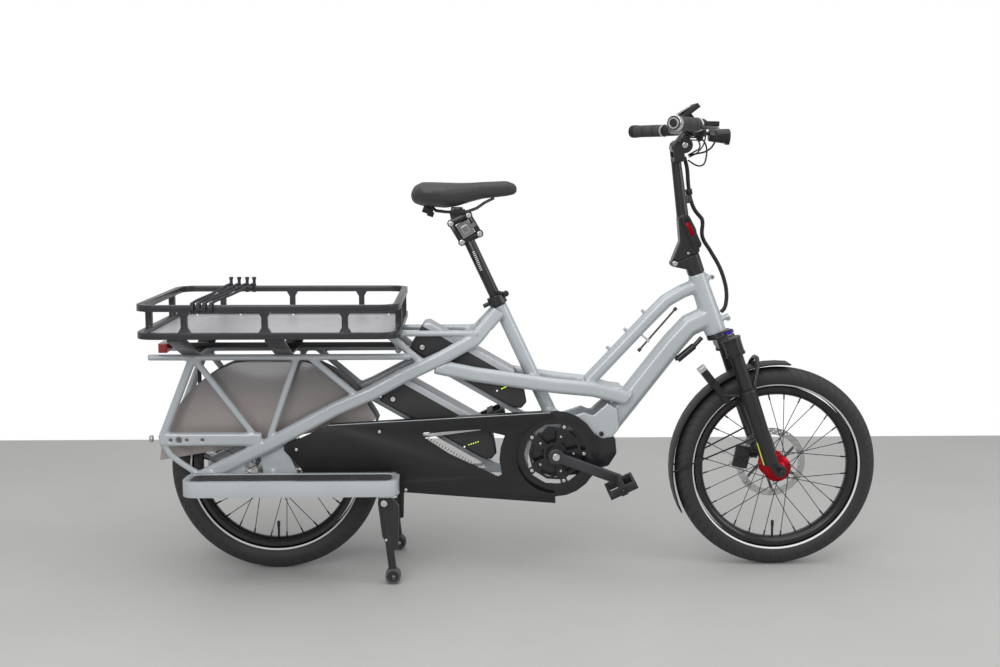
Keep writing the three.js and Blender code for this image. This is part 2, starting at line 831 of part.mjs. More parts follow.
const trayFrame = join([
  trayLoop(trayZ0),
  trayLoop(trayZ1),
  ...[-1, 0, 1].flatMap((i) => bothSides((side) => sidePost(14.9 + i * trayPostPitch, side))),
  ...[trayX0 + trayBarSize / 2, trayX1 - trayBarSize / 2].flatMap((x) => bothSides((side) => endPost(x, side * 120))),
  arm(-190),
  arm(36),
  spine,
]);
addPiece('tray_frame', trayFrame, trayPaint);

const floorEdge = trayBarSize + seatGap;
const floorShape = planShape(
  trayX0 + floorEdge,
  trayX1 - floorEdge,
  -trayY + floorEdge,
  trayY - floorEdge,
  trayCornerRadius - floorEdge,
);
for (const [x, y] of [[-190, 150], [-190, -150], [250, 150], [250, -150]]) {
  const hole = new THREE.Path();
  hole.absarc(x, y, 9, 0, 2 * Math.PI);
  floorShape.holes.push(hole);
}
addPiece('tray_floor', planPlate(floorShape, trayZ0 + 2, trayZ0 + 2 + trayFloorThickness), platePaint);

// One stretched cord over the tray, in four runs between its top rails
const cordRadius = 3.5;
const cordReach = trayY + cordRadius + seatGap;
const cordTop = trayTopH + trayBarSize + cordRadius + seatGap;
const cordEnd = (x, side) =>
  rod(at(x, side * cordReach, cordTop - 14), at(x, side * cordReach, cordTop + 1.5), cordRadius, 8);
const cord = ([xNear, xFar]) =>
  join(
    cordEnd(xNear, -1),
    cordEnd(xFar, 1),
    rod(at(xNear, -cordReach - 1.7, cordTop), at(xFar, cordReach + 1.7, cordTop), cordRadius, 8),
  );
const cordRuns = [[-149.5, -149.8], [-135.7, -128.4], [-122, -107], [-105.9, -88.3]];
const cordLoop = (from, to, y) => rod(at(from, y, cordTop - 13), at(to, y, cordTop - 13), cordRadius, 6);
const bungee = join(
  cordRuns.map(cord),
  cordLoop(cordRuns[0][0], cordRuns[1][0], -cordReach),
  cordLoop(cordRuns[1][1], cordRuns[2][1], cordReach),
  cordLoop(cordRuns[2][0], cordRuns[3][0], -cordReach),
);
addPiece('bungee', bungee, softBlack);

// Foot decks
function footDeck(side) {
  const [y0, y1] = side < 0 ? [-deckOuterY, -deckInnerY] : [deckInnerY, deckOuterY];
  const loop = planLoop(deckRear, deckFront, y0, y1, deckCornerRadius, deckWall, deckZ, deckZ + deckHeight);
  const edge = deckWall - 2;
  const board = planShape(deckRear + edge, deckFront - edge, y0 + edge, y1 - edge, deckCornerRadius - edge);
  return join(loop, planPlate(board, deckZ + deckHeight - 9, deckZ + deckHeight - 3));
}
addPiece('foot_deck_right', footDeck(-1), framePaint);
addPiece('foot_deck_left', footDeck(1), framePaint);

// Stand: cross tube, two legs with their plates, and a round foot on each
const legY = standHalfWidth;
const footCentre = vec(standFootX, 0, standFootRadius);
const footHalf = 12;
function standLeg(side) {
  const y = side * legY;
  const pivot = vec(standPivot.x, y, standPivot.z);
  const down = vec(footCentre.x - pivot.x, 0, footCentre.z - pivot.z).normalize();
  const legEnd = vec(footCentre.x, y, footCentre.z).addScaledVector(down, -standFootRadius + 4);
  const plate = sidePlate(
    [[-11, 24], [14, 21], [36, -5], [33, -115], [13, -115], [-6, -82], [-16, 4]].map(([x, z]) => [
      pivot.x + x,
      pivot.z + z,
    ]),
    Math.min(y - 6, y + 6),
    Math.max(y - 6, y + 6),
  );
  return join(
    rod(pivot, legEnd, standLegRadius, 10),
    plate,
    cut(
      cross(footCentre.x, footCentre.z, standFootRadius, y - footHalf, y + footHalf, 12),
      cross(footCentre.x, footCentre.z, 5, y - footHalf - 1, y + footHalf + 1, 8),
    ),
  );
}
const standLegs = join(
  cross(standPivot.x, standPivot.z, crossTubeRadius, -legY - 8, legY + 8, 14),
  ...bothSides(standLeg),
);
addPiece('stand_legs', standLegs, framePaint);

// Rear fender strip and the clear guards beside the wheel
const fenderOuter = rearTyreRadius + 22;
const fenderFlatH = rearTyreRadius + 11;
const arcPoints = (radius, from, to, steps, flat = Infinity) =>
  Array.from({ length: steps + 1 }, (_, i) => {
    const t = turned(from + ((to - from) * i) / steps);
    return [radius * t.c, Math.min(radius * t.s, flat)];
  });
const guardInner = 40;
const fenderStrip = sidePlate(
  outline([
    ...arcPoints(fenderOuter, 160, 25, 18, fenderFlatH),
    ...arcPoints(fenderOuter - 3, 25, 160, 18, fenderFlatH - 3),
  ]),
  -guardInner + seatGap,
  guardInner - seatGap,
);
const armUnder = armTop - 6 - seatGap;
const fenderPosts = [
  rod(at(-190, 0, 212), at(-190, 0, armUnder), 5, 8),
  rod(at(36, 0, fenderFlatH - 2), at(36, 0, armUnder), 8, 8),
];
addPiece('rear_fender', join(fenderStrip, ...fenderPosts), blackPlastic);
const guard = (side) =>
  sidePlate(
    outline([...arcPoints(fenderOuter, 175, 26.5, 18, fenderFlatH), [236, 118], [120, 98], [0, 76], [-150, 48]]),
    Math.min(side * guardInner, side * (guardInner + 2.5)),
    Math.max(side * guardInner, side * (guardInner + 2.5)),
  );
const guardPin = (angle) => {
  const t = turned(angle);
  const reach = fenderOuter - 8.5;
  return cross(reach * t.c, rearAxleZ + reach * t.s, 2.5, -guardInner - 2, guardInner + 2, 8);
};
addPiece('wheel_guards', join(...bothSides(guard), guardPin(32), guardPin(150)), smokedPanel);
const lamp = block(at(-273, 0, armTop + 1), vec(22, 60, 24));
addPiece('rear_lamp', lamp, lampRed);

// Chain case: an open-backed panel with a window and a notch round the crank
const caseOuter = -79;
const caseOutline = outline([
  [29.3, 69], [29.1, 56.6], [69.9, 11], [84, -20], [130, -47.5], [316, -51], [704.7, -82],
  [698, 150.3], [138.3, 118.9],
]);
const caseInside = outline([
  [130, 60], [130, -45], [316, -48.5], [710, -80], [710, 147], [138.3, 115.9],
]);
const caseWindow = new THREE.Path(
  outline([
    [369.3, 92.7], [376.8, 100.2], [515.1, 107.1], [577, 91.6], [566.5, 60], [563.6, 30],
    [569.7, -7.3], [559.8, -12.3], [438.3, 46.8],
  ]).map(([x, z]) => new THREE.Vector2(x, z)),
);
const crankZ = rearAxleZ + crankH;
const chainCase = cut(
  join(
    sidePlate(caseOutline, caseOuter, caseOuter + 3, [caseWindow]),
    cut(sidePlate(caseOutline, caseOuter + 2, -50), sidePlate(caseInside, caseOuter + 1, -40)),
  ),
  block(at(30, -60, 40), vec(220, 32, 400)),
  cross(crankX, crankZ, 98, caseOuter - 5, -30, 36),
  cross(crankX, crankZ, 113, -67, -30, 36),
  cross(deckTubeX, rearAxleZ + deckTubeH, deckTubeRadius + seatGap, caseOuter - 5, -40, 24),
);
addPiece('chain_case', chainCase, blackPlastic);

// Chain: two rows of plates with pins between them on the straight runs
const bigPitch = pitchRadiusOf(chainringTeeth);
const smallPitch = pitchRadiusOf(sprocketTeeth);
const chainSpan = Math.hypot(crankX, crankH);
const chainRise = Math.atan2(crankH, crankX);
const chainLean = Math.asin((bigPitch - smallPitch) / chainSpan);
const upperNormal = chainRise + Math.PI / 2 + chainLean;
const lowerNormal = chainRise - Math.PI / 2 - chainLean;
function chainOutline(offset, Type) {
  const shape = new Type();
  shape.absarc(crankX, crankZ, bigPitch + offset, lowerNormal, upperNormal, false);
  shape.absarc(0, rearAxleZ, smallPitch + offset, upperNormal, lowerNormal + 2 * Math.PI, false);
  shape.closePath();
  return shape;
}
const chainRow = (yFrom, yTo) => {
  const shape = chainOutline(4.2, THREE.Shape);
  shape.holes.push(chainOutline(-4.2, THREE.Path));
  const geometry = new THREE.ExtrudeGeometry(shape, { depth: yTo - yFrom, bevelEnabled: false, curveSegments: 6 });
  const matrix = new THREE.Matrix4().makeTranslation(0, yTo, 0);
  return solid(geometry, matrix.multiply(new THREE.Matrix4().makeRotationX(Math.PI / 2)));
};
const chainPins = [upperNormal, lowerNormal].flatMap((normal) =>
  [0.2, 0.5, 0.8].map((part) => {
    const x = (crankX + bigPitch * Math.cos(normal)) * part + smallPitch * Math.cos(normal) * (1 - part);
    const z =
      (crankZ + bigPitch * Math.sin(normal)) * part + (rearAxleZ + smallPitch * Math.sin(normal)) * (1 - part);
    return cross(x, z, 2.6, chainY - 3, chainY + 3, 6);
  }),
);
const chainHalf = chainWidth / 2;
const chain = join(chainRow(chainY - chainHalf, chainY - 1.8), chainRow(chainY + 1.8, chainY + chainHalf), ...chainPins);
addPiece('chain', chain, steel);

// Motor, hung between the plates at the foot of the down tube
const motorAxleBore = 10;
const motor = cut(
  join(
    cross(crankX, crankZ, 60, -motorHalfWidth, motorHalfWidth, 24),
    sidePlate(
      outline([
        [652, 20], [664, -12], [700, -24], [770, -18], [842, 4], [862, 36], [858, 76], [820, 92],
        [740, 98], [690, 96],
      ]),
      -motorHalfWidth,
      motorHalfWidth,
    ),
  ),
  downTubeSolid(2 * seatGap),
  cross(crankX, crankZ, motorAxleBore, -60, 60, 16),
  rod(at(motorBack - 1, 0, bellyH), at(motorBack + 8, 0, bellyH), deckTubeRadius + seatGap, 14),
  lowerRailClearance(),
);
function lowerRailClearance() {
  return beam(
    alongBattery(300, lowerRailLift - railDepth / 2),
    alongBattery(380, lowerRailLift - railDepth / 2),
    railWidth + 1,
    railDepth + 1,
    3,
  );
}
addPiece('motor', motor, blackMetal);

// Crankset, chainring and pedals
const crankArmY = 94;
const crankArmHalf = 6.5;
const armDirection = turned(crankAngle);
const pedalAxle = (side) =>
  vec(
    crankX - side * crankLength * armDirection.c,
    side * crankArmY,
    crankZ - side * crankLength * armDirection.s,
  );
const crankCentre = (side) => vec(crankX, side * crankArmY, crankZ);
const crankArm = (side) => {
  const y0 = side * crankArmY - crankArmHalf;
  const y1 = side * crankArmY + crankArmHalf;
  const end = pedalAxle(side);
  return join(
    beam(crankCentre(side), end, 2 * crankArmHalf, 27, 3),
    cross(crankX, crankZ, 20, y0, y1, 14),
    cross(end.x, end.z, 14, y0, y1, 10),
    rod(end, vec(end.x, side * (115 + pedalWidth), end.z), 5, 12),
  );
};
const pedalInnerY = 115;
const crankAxle = cross(crankX, crankZ, motorAxleBore - runGap - 0.5, -crankArmY, crankArmY, 16);
const crankset = new THREE.Group();
bike.add(crankset);
addPiece('crankset', join(crankAxle, ...bothSides(crankArm)), blackMetal, crankset);

const chainringGroup = new THREE.Group();
chainringGroup.position.set(crankX, 0, crankZ);
bike.add(chainringGroup);
const ringWindows = (from, to, count, width) =>
  Array.from({ length: count }, (_, i) => {
    const middle = (360 * (i + 0.5)) / count;
    const points = [
      ...arcPoints(from, middle - width / 2, middle + width / 2, 2),
      ...arcPoints(to, middle + width / 2, middle - width / 2, 2),
    ];
    return new THREE.Path(points.map(([x, z]) => new THREE.Vector2(x, z)));
  });
const toothBore = 80;
const chainring = toothedPlate(chainringTeeth, toothBore);
const spiderY = chainY - 9;
const spiderPlate = new THREE.Shape();
spiderPlate.absarc(0, 0, 110, 0, 2 * Math.PI);
spiderPlate.holes.push(...ringWindows(30, 60, 5, 44), ...ringWindows(67, toothBore - 1.5, 5, 58));
const spiderBore = new THREE.Path();
spiderBore.absarc(0, 0, motorAxleBore - runGap - 0.5 + seatGap, 0, 2 * Math.PI);
spiderPlate.holes.push(spiderBore);
const spiderGeometry = new THREE.ExtrudeGeometry(spiderPlate, { depth: 3, bevelEnabled: false, curveSegments: 12 });
const spiderMatrix = new THREE.Matrix4()
  .makeTranslation(0, spiderY + 3, 0)
  .multiply(new THREE.Matrix4().makeRotationX(Math.PI / 2));
const ringSpacer = ring(
  [
    [toothBore - 1, spiderY + 2],
    [toothBore + 4, spiderY + 2],
    [toothBore + 4, chainY],
    [toothBore - 1, chainY],
  ],
  24,
);
const spiderBoss = ring(
  [
    [motorAxleBore - runGap - 0.5 + seatGap, spiderY - 12],
    [20, spiderY - 12],
    [24, spiderY + 1],
    [motorAxleBore - runGap - 0.5 + seatGap, spiderY + 1],
  ],
  16,
);
const chainringPiece = join(chainring, solid(spiderGeometry, spiderMatrix), ringSpacer, spiderBoss);
addPiece('chainring', chainringPiece, blackMetal, chainringGroup);

function pedal(side) {
  const y0 = side * (pedalInnerY + 0.3);
  const y1 = side * (pedalInnerY + pedalWidth);
  const middle = (y0 + y1) / 2;
  const half = pedalLength / 2;
  const tilt = -pedalTilt;
  const body = block(vec(0, middle, 0), vec(pedalLength, pedalWidth - 0.3, pedalThickness - 8), tilt);
  const gaps = [-1, 1].map((end) => {
    const t = turned(pedalTilt);
    const centre = vec(end * half * 0.52 * t.c, middle, end * half * 0.52 * t.s);
    return block(centre, vec(half * 0.56, pedalWidth - 26, pedalThickness), tilt);
  });
  const pads = block(vec(0, middle, 0), vec(16, pedalWidth - 8, pedalThickness), tilt);
  const bore = cross(0, 0, 5 + runGap, y0 - 5 * Math.sign(y0), y1 + 5 * Math.sign(y1), 20);
  return cut(join(cut(body, gaps), pads), bore);
}
for (const [name, side] of [['pedal_right', -1], ['pedal_left', 1]]) {
  const pedalGroup = new THREE.Group();
  const end = pedalAxle(side);
  pedalGroup.position.set(end.x, 0, end.z);
  bike.add(pedalGroup);
  addPiece(name, pedal(side), blackPlastic, pedalGroup);
}

// Batteries lie on their rails, hinged at the front end
function batteryPack(lift) {
  const corner = (down, up) => {
    const p = alongBattery(down, lift + up);
    return [p.x, p.z];
  };
  const height = batteryHeight;
  const nose = batteryLength;
  return sidePlate(
    [
      corner(4, 2), corner(8, 0), corner(nose - 26, 0), corner(nose - 4, 9), corner(nose, 30),
      corner(nose - 24, 58), corner(nose - 60, height - 3), corner(nose - 72, height), corner(14, height),
      corner(4, height - 9),
    ],
    -batteryWidth / 2,
    batteryWidth / 2,
  );
}
addPiece('battery_upper', batteryPack(0), blackPlastic);
addPiece('battery_lower', batteryPack(-batteryPitch), blackPlastic);

// Seat clamp, its lever and the seat post
const clampRise = 26;
const postBore = seatPostRadius + seatGap;
const clampRing = cut(
  join(
    rod(alongSeat(seatGap), alongSeat(clampRise), seatTubeRadius + 5, 16),
    beam(alongSeat(13, -20), alongSeat(13, -38), 18, 10, 2),
    beam(alongSeat(19, 18), alongSeat(19, 32), 14, 12, 2),
  ),
  rod(alongSeat(-5), alongSeat(clampRise + 5), postBore, 16),
  cross(alongSeat(19, 27).x, alongSeat(19, 27).z, 8, -30, -4.5, 16),
);
addPiece('seat_clamp', clampRing, blackMetal);
const leverPivot = alongSeat(19, 27);
const leverPin = vec(leverPivot.x, 0, leverPivot.z);
const seatLever = join(
  cross(leverPin.x, leverPin.z, 7.5, -14, -4.8, 16),
  rod(vec(leverPin.x, -9.5, leverPin.z), vec(leverPin.x - 21, -33, leverPin.z + 6), 4, 8),
);
addPiece('seat_lever', seatLever, blackMetal);

const headRise = 182.4;
const linkBase = alongSeat(headRise, 7.2);
const tiltOf = turned(linkTilt);
const linkUp = turned(90 + linkLean);
const halfSpacing = linkSpacing / 2;
const lowerPivots = [1, -1].map((end) =>
  vec(linkBase.x + end * halfSpacing * tiltOf.c, 0, linkBase.z + end * halfSpacing * tiltOf.s),
);
const upperPivots = lowerPivots.map((p) => vec(p.x + linkLength * linkUp.c, 0, p.z + linkLength * linkUp.s));
const pivotRadius = 4;
const headHalfWidth = 13;
const postHead = join(
  beam(lowerPivots[1], lowerPivots[0], 2 * headHalfWidth, 17, 4),
  ...lowerPivots.map((p) => cross(p.x, p.z, 9.5, -headHalfWidth, headHalfWidth, 10)),
  ...lowerPivots.map((p) => cross(p.x, p.z, pivotRadius, -headHalfWidth - 7, headHalfWidth + 7, 8)),
);
const seatPost = join(
  rod(alongSeat(-seatTubeLength + 130), alongSeat(headRise - 6), seatPostRadius, 16),
  postHead,
);
addPiece('seatpost', seatPost, blackMetal);

const linkBore = pivotRadius + 0.4;
const seatLink = (end) => {
  const low = lowerPivots[end];
  const high = upperPivots[end];
  const cheeks = bothSides((side) => {
    const y0 = side * (headHalfWidth + 0.5);
    const y1 = side * (headHalfWidth + 6.5);
    const middle = (y0 + y1) / 2;
    return join(
      beam(vec(low.x, middle, low.z), vec(high.x, middle, high.z), 6, 13, 2),
      cross(low.x, low.z, 9.5, y0, y1, 8),
      cross(high.x, high.z, 9.5, y0, y1, 8),
    );
  });
  const middle = low.clone().lerp(high, 0.5);
  const bridge = cross(middle.x, middle.z, 5, -headHalfWidth - 2, headHalfWidth + 2, 6);
  return cut(
    join(...cheeks, bridge),
    cross(low.x, low.z, linkBore, -30, 30, 8),
    cross(high.x, high.z, end === 1 ? linkBore + 0.3 : linkBore, -30, 30, 8),
  );
};
addPiece('seat_link_front', seatLink(0), blackMetal);
addPiece('seat_link_rear', seatLink(1), blackMetal);

const railY = 24;
const railRadius = 3.5;
const clampTop = vec(upperPivots[0].x - 16, 0, upperPivots[0].z + 8);
const railBlock = (grow) =>
  block(vec(clampTop.x - 13, 0, clampTop.z + 3.5), vec(30 + grow, 2 * railY + 10 + grow, 16 + grow));
const saddleRail = (side) =>
  sweep(
    [
      vec(clampTop.x - 82, side * 26, clampTop.z + 20),
      vec(clampTop.x - 74, side * 26, clampTop.z + 6),
      vec(clampTop.x - 48, side * railY, clampTop.z),
      vec(clampTop.x + 22, side * railY, clampTop.z + 2),
      vec(clampTop.x + 62, side * 19, clampTop.z + 26),
      vec(clampTop.x + 80, side * 17, clampTop.z + 34),
    ],
    rounded(railRadius, 6),
    7,
  );
const seatHead = join(
  beam(upperPivots[1], upperPivots[0], 2 * headHalfWidth, 17, 4),
  ...upperPivots.map((p) => cross(p.x, p.z, 9.5, -headHalfWidth, headHalfWidth, 10)),
  ...upperPivots.map((p) => cross(p.x, p.z, pivotRadius, -headHalfWidth - 7, headHalfWidth + 7, 8)),
  block(vec(clampTop.x - 10, 0, clampTop.z - 8), vec(40, 24, 22), -12),
  railBlock(0),
  ...bothSides(saddleRail),
);
addPiece('seat_head', seatHead, blackMetal);

// Saddle: a cushion with a broad tail, a narrow nose, a crown and drawn-in sides
const saddleX = 347.6;
const saddleLength = 260.8;
const saddleTopZ = 985;
const saddleSections = [
  [0.0, 58, -26, -46], [0.03, 80, -12, -56], [0.1, 98, -3, -62], [0.2, 104, -3, -64],
  [0.32, 96, -4, -67], [0.44, 72, -5, -62], [0.56, 46, -4.5, -52], [0.68, 30, -2.5, -44],
  [0.8, 25, -1, -41], [0.9, 23, 0, -38], [0.97, 19, -6, -34], [1.0, 12, -14, -29],
];
const saddleRing = ([part, halfWidth, top, bottom]) => {
  const x = saddleX + part * saddleLength;
  const depth = top - bottom;
  const sides = 20;
  return Array.from({ length: sides }, (_, i) => {
    const angle = (2 * Math.PI * i) / sides;
    const c = Math.cos(angle);
    const s = Math.sin(angle);
    const square = s > 0 ? 0.72 : 0.9;
    const y = halfWidth * Math.sign(c) * Math.abs(c) ** square * (s < 0 ? 1 + 0.22 * s : 1);
    const rise = s > 0 ? depth * 0.42 * Math.abs(s) ** 0.8 : -depth * 0.58 * Math.abs(s) ** 0.55;
    return vec(x, y, saddleTopZ + bottom + depth * 0.58 + rise);
  });
};
const railPocket = (side) =>
  join(
    rod(
      vec(clampTop.x - 92, side * 26, clampTop.z + 27),
      vec(clampTop.x - 70, side * 26, clampTop.z),
      railRadius + 4,
      8,
    ),
    rod(
      vec(clampTop.x + 20, side * railY, clampTop.z - 1),
      vec(clampTop.x + 86, side * 16.5, clampTop.z + 37),
      railRadius + 4,
      8,
    ),
  );
const saddle = cut(loft(saddleSections.map(saddleRing)), bothSides(railPocket), railBlock(2 * seatGap));
addPiece('saddle', saddle, softBlack);

// Fork: steerer, race, crown and stanchions; the lowers slide on them
const lowersStart = axleAlong - lowersLength;
const stanchionEnd = lowersStart + 80;
const legPoint = (along, side, ahead = stanchionOffset) => alongHead(along, ahead, side * forkHalfWidth);
const steererTop = headTubeLength + 35;
const forkCrown = join(
  rod(alongHead(13, 0), alongHead(-steererTop, 0), steererRadius, 16),
  rod(alongHead(seatGap, 0), alongHead(13, 0), 26, 16),
  beam(alongHead(10, 15), alongHead(38, 15), 100, 48, 12),
  ...bothSides((side) => rod(legPoint(12, side), legPoint(58, side), 24, 10)),
  ...bothSides((side) => rod(legPoint(50, side), legPoint(stanchionEnd, side), stanchionRadius, 14)),
);
addPiece('fork_crown', forkCrown, blackMetal);

const legEndAlong = axleAlong - 26;
const lowerLeg = (side) => [
  rod(legPoint(lowersStart, side), legPoint(legEndAlong, side), lowerLegRadius, 14, 19),
  beam(
    legPoint(legEndAlong - 12, side),
    alongHead(axleAlong + 8, axleAhead, side * (forkHalfWidth - 3)),
    15,
    26,
    4,
  ),
  cross(frontAxle.x, frontAxle.z, 16, side * 51, side * 70, 12),
];
const archPoints = [
  [170, 34, 62], [148, 42, 58], [124, 58, 48], [101, 73, 32], [94, 77, 14],
];
const arch = sweep(
  [
    ...archPoints.map(([along, ahead, y]) => alongHead(along, ahead, -y)),
    ...archPoints.reverse().map(([along, ahead, y]) => alongHead(along, ahead, y)),
  ],
  roundShape(6.5, 6),
  9,
);
const caliperBody = cut(
  join(
    block(vec(frontAxle.x - 76, 40, frontAxle.z + 14), vec(40, 15, 58), 12),
    block(vec(frontAxle.x - 58, 47, frontAxle.z + 26), vec(54, 9, 26), 12),
  ),
  block(vec(frontAxle.x - 43, rotorOffset + 1, frontAxle.z + 14), vec(98, 5.2, 90)),
);
const frontAxleRod = cross(frontAxle.x, frontAxle.z, axleRadius, -66, 66, 12);
const stanchionClearance = bothSides((side) =>
  rod(legPoint(60, side), legPoint(stanchionEnd + 75, side), stanchionRadius + runGap, 14),
);
const forkLowers = cut(
  join(...bothSides(lowerLeg).flat(), arch, caliperBody, frontAxleRod),
  stanchionClearance,
);
addPiece('fork_lowers', forkLowers, blackMetal);

const aroundAxle = (radius, angle, y = 0) =>
  vec(frontAxle.x + radius * turned(angle).c, y, frontAxle.z + radius * turned(angle).s);
const frontFenderArc = (radius, from, to) =>
  arcPoints(radius, from, to, 20).map(([x, z]) => [frontAxle.x + x, frontAxle.z + z]);
const fenderStay = (side) =>
  rod(
    aroundAxle(fenderRadius + 1, 182, side * 29),
    alongHead(275, stanchionOffset - lowerLegRadius + 6, side * (forkHalfWidth - 3)),
    2.2,
    6,
  );
const frontFender = join(
  sidePlate(
    [...frontFenderArc(fenderRadius + 3.5, 84, 205.6), ...frontFenderArc(fenderRadius, 205.6, 84)],
    -fenderWidth / 2,
    fenderWidth / 2,
  ),
  ...bothSides(fenderStay),
  rod(aroundAxle(fenderRadius + 1, 102.2), aroundAxle(fenderRadius + 12.4, 102.2), 8, 12),
);
addPiece('front_fender', cut(frontFender, ...bothSides(legClearance)), blackPlastic);
function legClearance(side) {
  return rod(
    legPoint(lowersStart - 1, side),
    legPoint(legEndAlong, side),
    lowerLegRadius + seatGap,
    14,
    19 + seatGap,
  );
}

// Ring lock round the front wheel, held on the backs of the fork legs
const lockAngle = 127.3;
const lockRadial = turned(lockAngle);
const lockBasis = new THREE.Matrix4()
  .makeBasis(vec(0, 1, 0), vec(lockRadial.c, 0, lockRadial.s), vec(lockRadial.s, 0, -lockRadial.c))
  .setPosition(frontAxle);
const lockPlate = (points, thickness) => {
  const shape = new THREE.Shape(points.map(([y, u]) => new THREE.Vector2(y, u)));
  const geometry = new THREE.ExtrudeGeometry(shape, { depth: thickness, bevelEnabled: false });
  geometry.translate(0, 0, -thickness / 2);
  return solid(geometry, lockBasis);
};
const ringLock = join(
  lockPlate(
    [
      [47, 216], [48, 286], [38, 304], [20, 311], [-20, 311], [-38, 304], [-48, 286], [-47, 216],
      [-42, 211], [-37, 216], [-34, 236], [-34, 273], [34, 273], [34, 236], [37, 216], [42, 211],
    ],
    16,
  ),
  lockPlate([[-16, 300], [-16, 318], [16, 318], [16, 300]], 12),
  ...bothSides((side) => rod(aroundAxle(240, lockAngle, side * 42), alongHead(162, 4, side * 60), 5, 8)),
);
addPiece('ring_lock', cut(ringLock, ...bothSides(legClearance)), blackPlastic);

// Steering damper under the down tube
const steeringDamper = join(
  rod(alongHead(33.5, -114), alongHead(13.5, -62), 9, 10),
  rod(alongHead(13.5, -62), alongHead(-0.5, -37), 6, 8),
);
addPiece('steering_damper', cut(steeringDamper, downTubeSolid(2 * seatGap)), blackMetal);

// Mast base on the steerer, with the hinge the mast folds on
const hinge = alongHead(-headTubeLength - mastHingeUp, -mastHingeBack);
const splitAngle = 25;
const split = turned(splitAngle);
const onSplit = (forward, lift) => [
  hinge.x + forward * split.c - lift * split.s,
  hinge.z + forward * split.s + lift * split.c,
];
const knuckle = 9;
const tongueHalf = 9.5;
const baseHalf = 18;
const headToXz = (along, ahead) => {
  const p = alongHead(along, ahead);
  return [p.x, p.z];
};
const mastBase = cut(
  join(
    cut(
      join(
        rod(alongHead(-headTubeLength - seatGap, 0), alongHead(-headTubeLength - 80, 0), 22, 12),
        sidePlate(
          [
            [hinge.x - 4, hinge.z - 8.2],
            headToXz(-headTubeLength - 14, -14),
            headToXz(-headTubeLength - 60, -6),
            onSplit(0, 0),
          ],
          -baseHalf,
          baseHalf,
        ),
      ),
      sidePlate([onSplit(-60, 0), onSplit(150, 0), onSplit(150, 120), onSplit(-60, 120)], -40, 40),
    ),
    cross(hinge.x, hinge.z, knuckle, -baseHalf, baseHalf, 14),
  ),
  cross(hinge.x, hinge.z, knuckle + 1.2, -tongueHalf - seatGap, tongueHalf + seatGap, 16),
  rod(alongHead(-headTubeLength + 20, 0), alongHead(-steererTop - 1, 0), steererRadius + seatGap, 16),
);
const hingePin = cross(hinge.x, hinge.z, 3.5, -baseHalf - 3, baseHalf + 3, 14);
addPiece('mast_base', join(mastBase, hingePin), blackMetal);

// Mast: "rise" runs up its tube from the foot
const mastDirection = turned(90 + mastLean);
const mastFoot = alongHead(-headTubeLength - 63.2, -5.4);
const alongMast = (rise, ahead, y = 0) =>
  vec(
    mastFoot.x + mastDirection.c * rise + mastDirection.s * ahead,
    y,
    mastFoot.z + mastDirection.s * rise - mastDirection.c * ahead,
  );
const mastXz = (rise, ahead) => {
  const p = alongMast(rise, ahead);
  return [p.x, p.z];
};
const stemPivot = alongMast(258.5, 6.5);
const earInner = 22.4;
const earOuter = 28;
const stemEar = (side) =>
  join(
    cross(stemPivot.x, stemPivot.z, 15, side * earInner, side * earOuter, 14),
    sidePlate(
      [mastXz(224, -9), mastXz(224, 18), mastXz(262, 21), mastXz(262, -8)],
      Math.min(side * earInner, side * earOuter),
      Math.max(side * earInner, side * earOuter),
    ),
  );
const hoseBracket = alongMast(134, 15);
const mastTube = join(
  rod(alongMast(-4, 0), alongMast(mastHeight - 8, 0), mastBottomRadius, 16, mastTopRadius),
  sidePlate(
    [
      onSplit(-2, 0.5), onSplit(70, 0.5), mastXz(18, 30), mastXz(52, 27), mastXz(86, 14.5),
      mastXz(86, -14), mastXz(26, -16.5), [hinge.x - 7, hinge.z + 5],
    ],
    -baseHalf,
    baseHalf,
  ),
  beam(alongMast(222, 4), alongMast(234, 5), 2 * earOuter, 28, 5),
  ...bothSides(stemEar),
  cross(stemPivot.x, stemPivot.z, 4, -earOuter, earOuter, 12),
  beam(alongMast(126, 10, 8), alongMast(126, 27, 14), 16, 20, 2),
);
const belowSplit = sidePlate([onSplit(-60, 0.5), onSplit(-60, -90), onSplit(150, -90), onSplit(150, 0.5)], -50, 50);
const mast = cut(
  join(
    cut(
      mastTube,
      belowSplit,
      cross(hinge.x, hinge.z, knuckle + 1, -baseHalf - 2, -tongueHalf, 16),
      cross(hinge.x, hinge.z, knuckle + 1, tongueHalf, baseHalf + 2, 16),
    ),
    cross(hinge.x, hinge.z, knuckle, -tongueHalf, tongueHalf, 14),
  ),
  cross(hinge.x, hinge.z, 3.5 + runGap, -30, 30, 14),
);
const latchPivot = alongMast(12, 24);
const latchPivotRadius = 4;
const latchInner = -baseHalf - seatGap;
const latchOuter = -baseHalf - 8;
const latchPin = cross(latchPivot.x, latchPivot.z, latchPivotRadius, -baseHalf + 2, latchOuter, 14);
addPiece('mast', join(cut(mast, hoseClearance()), latchPin), blackMetal);

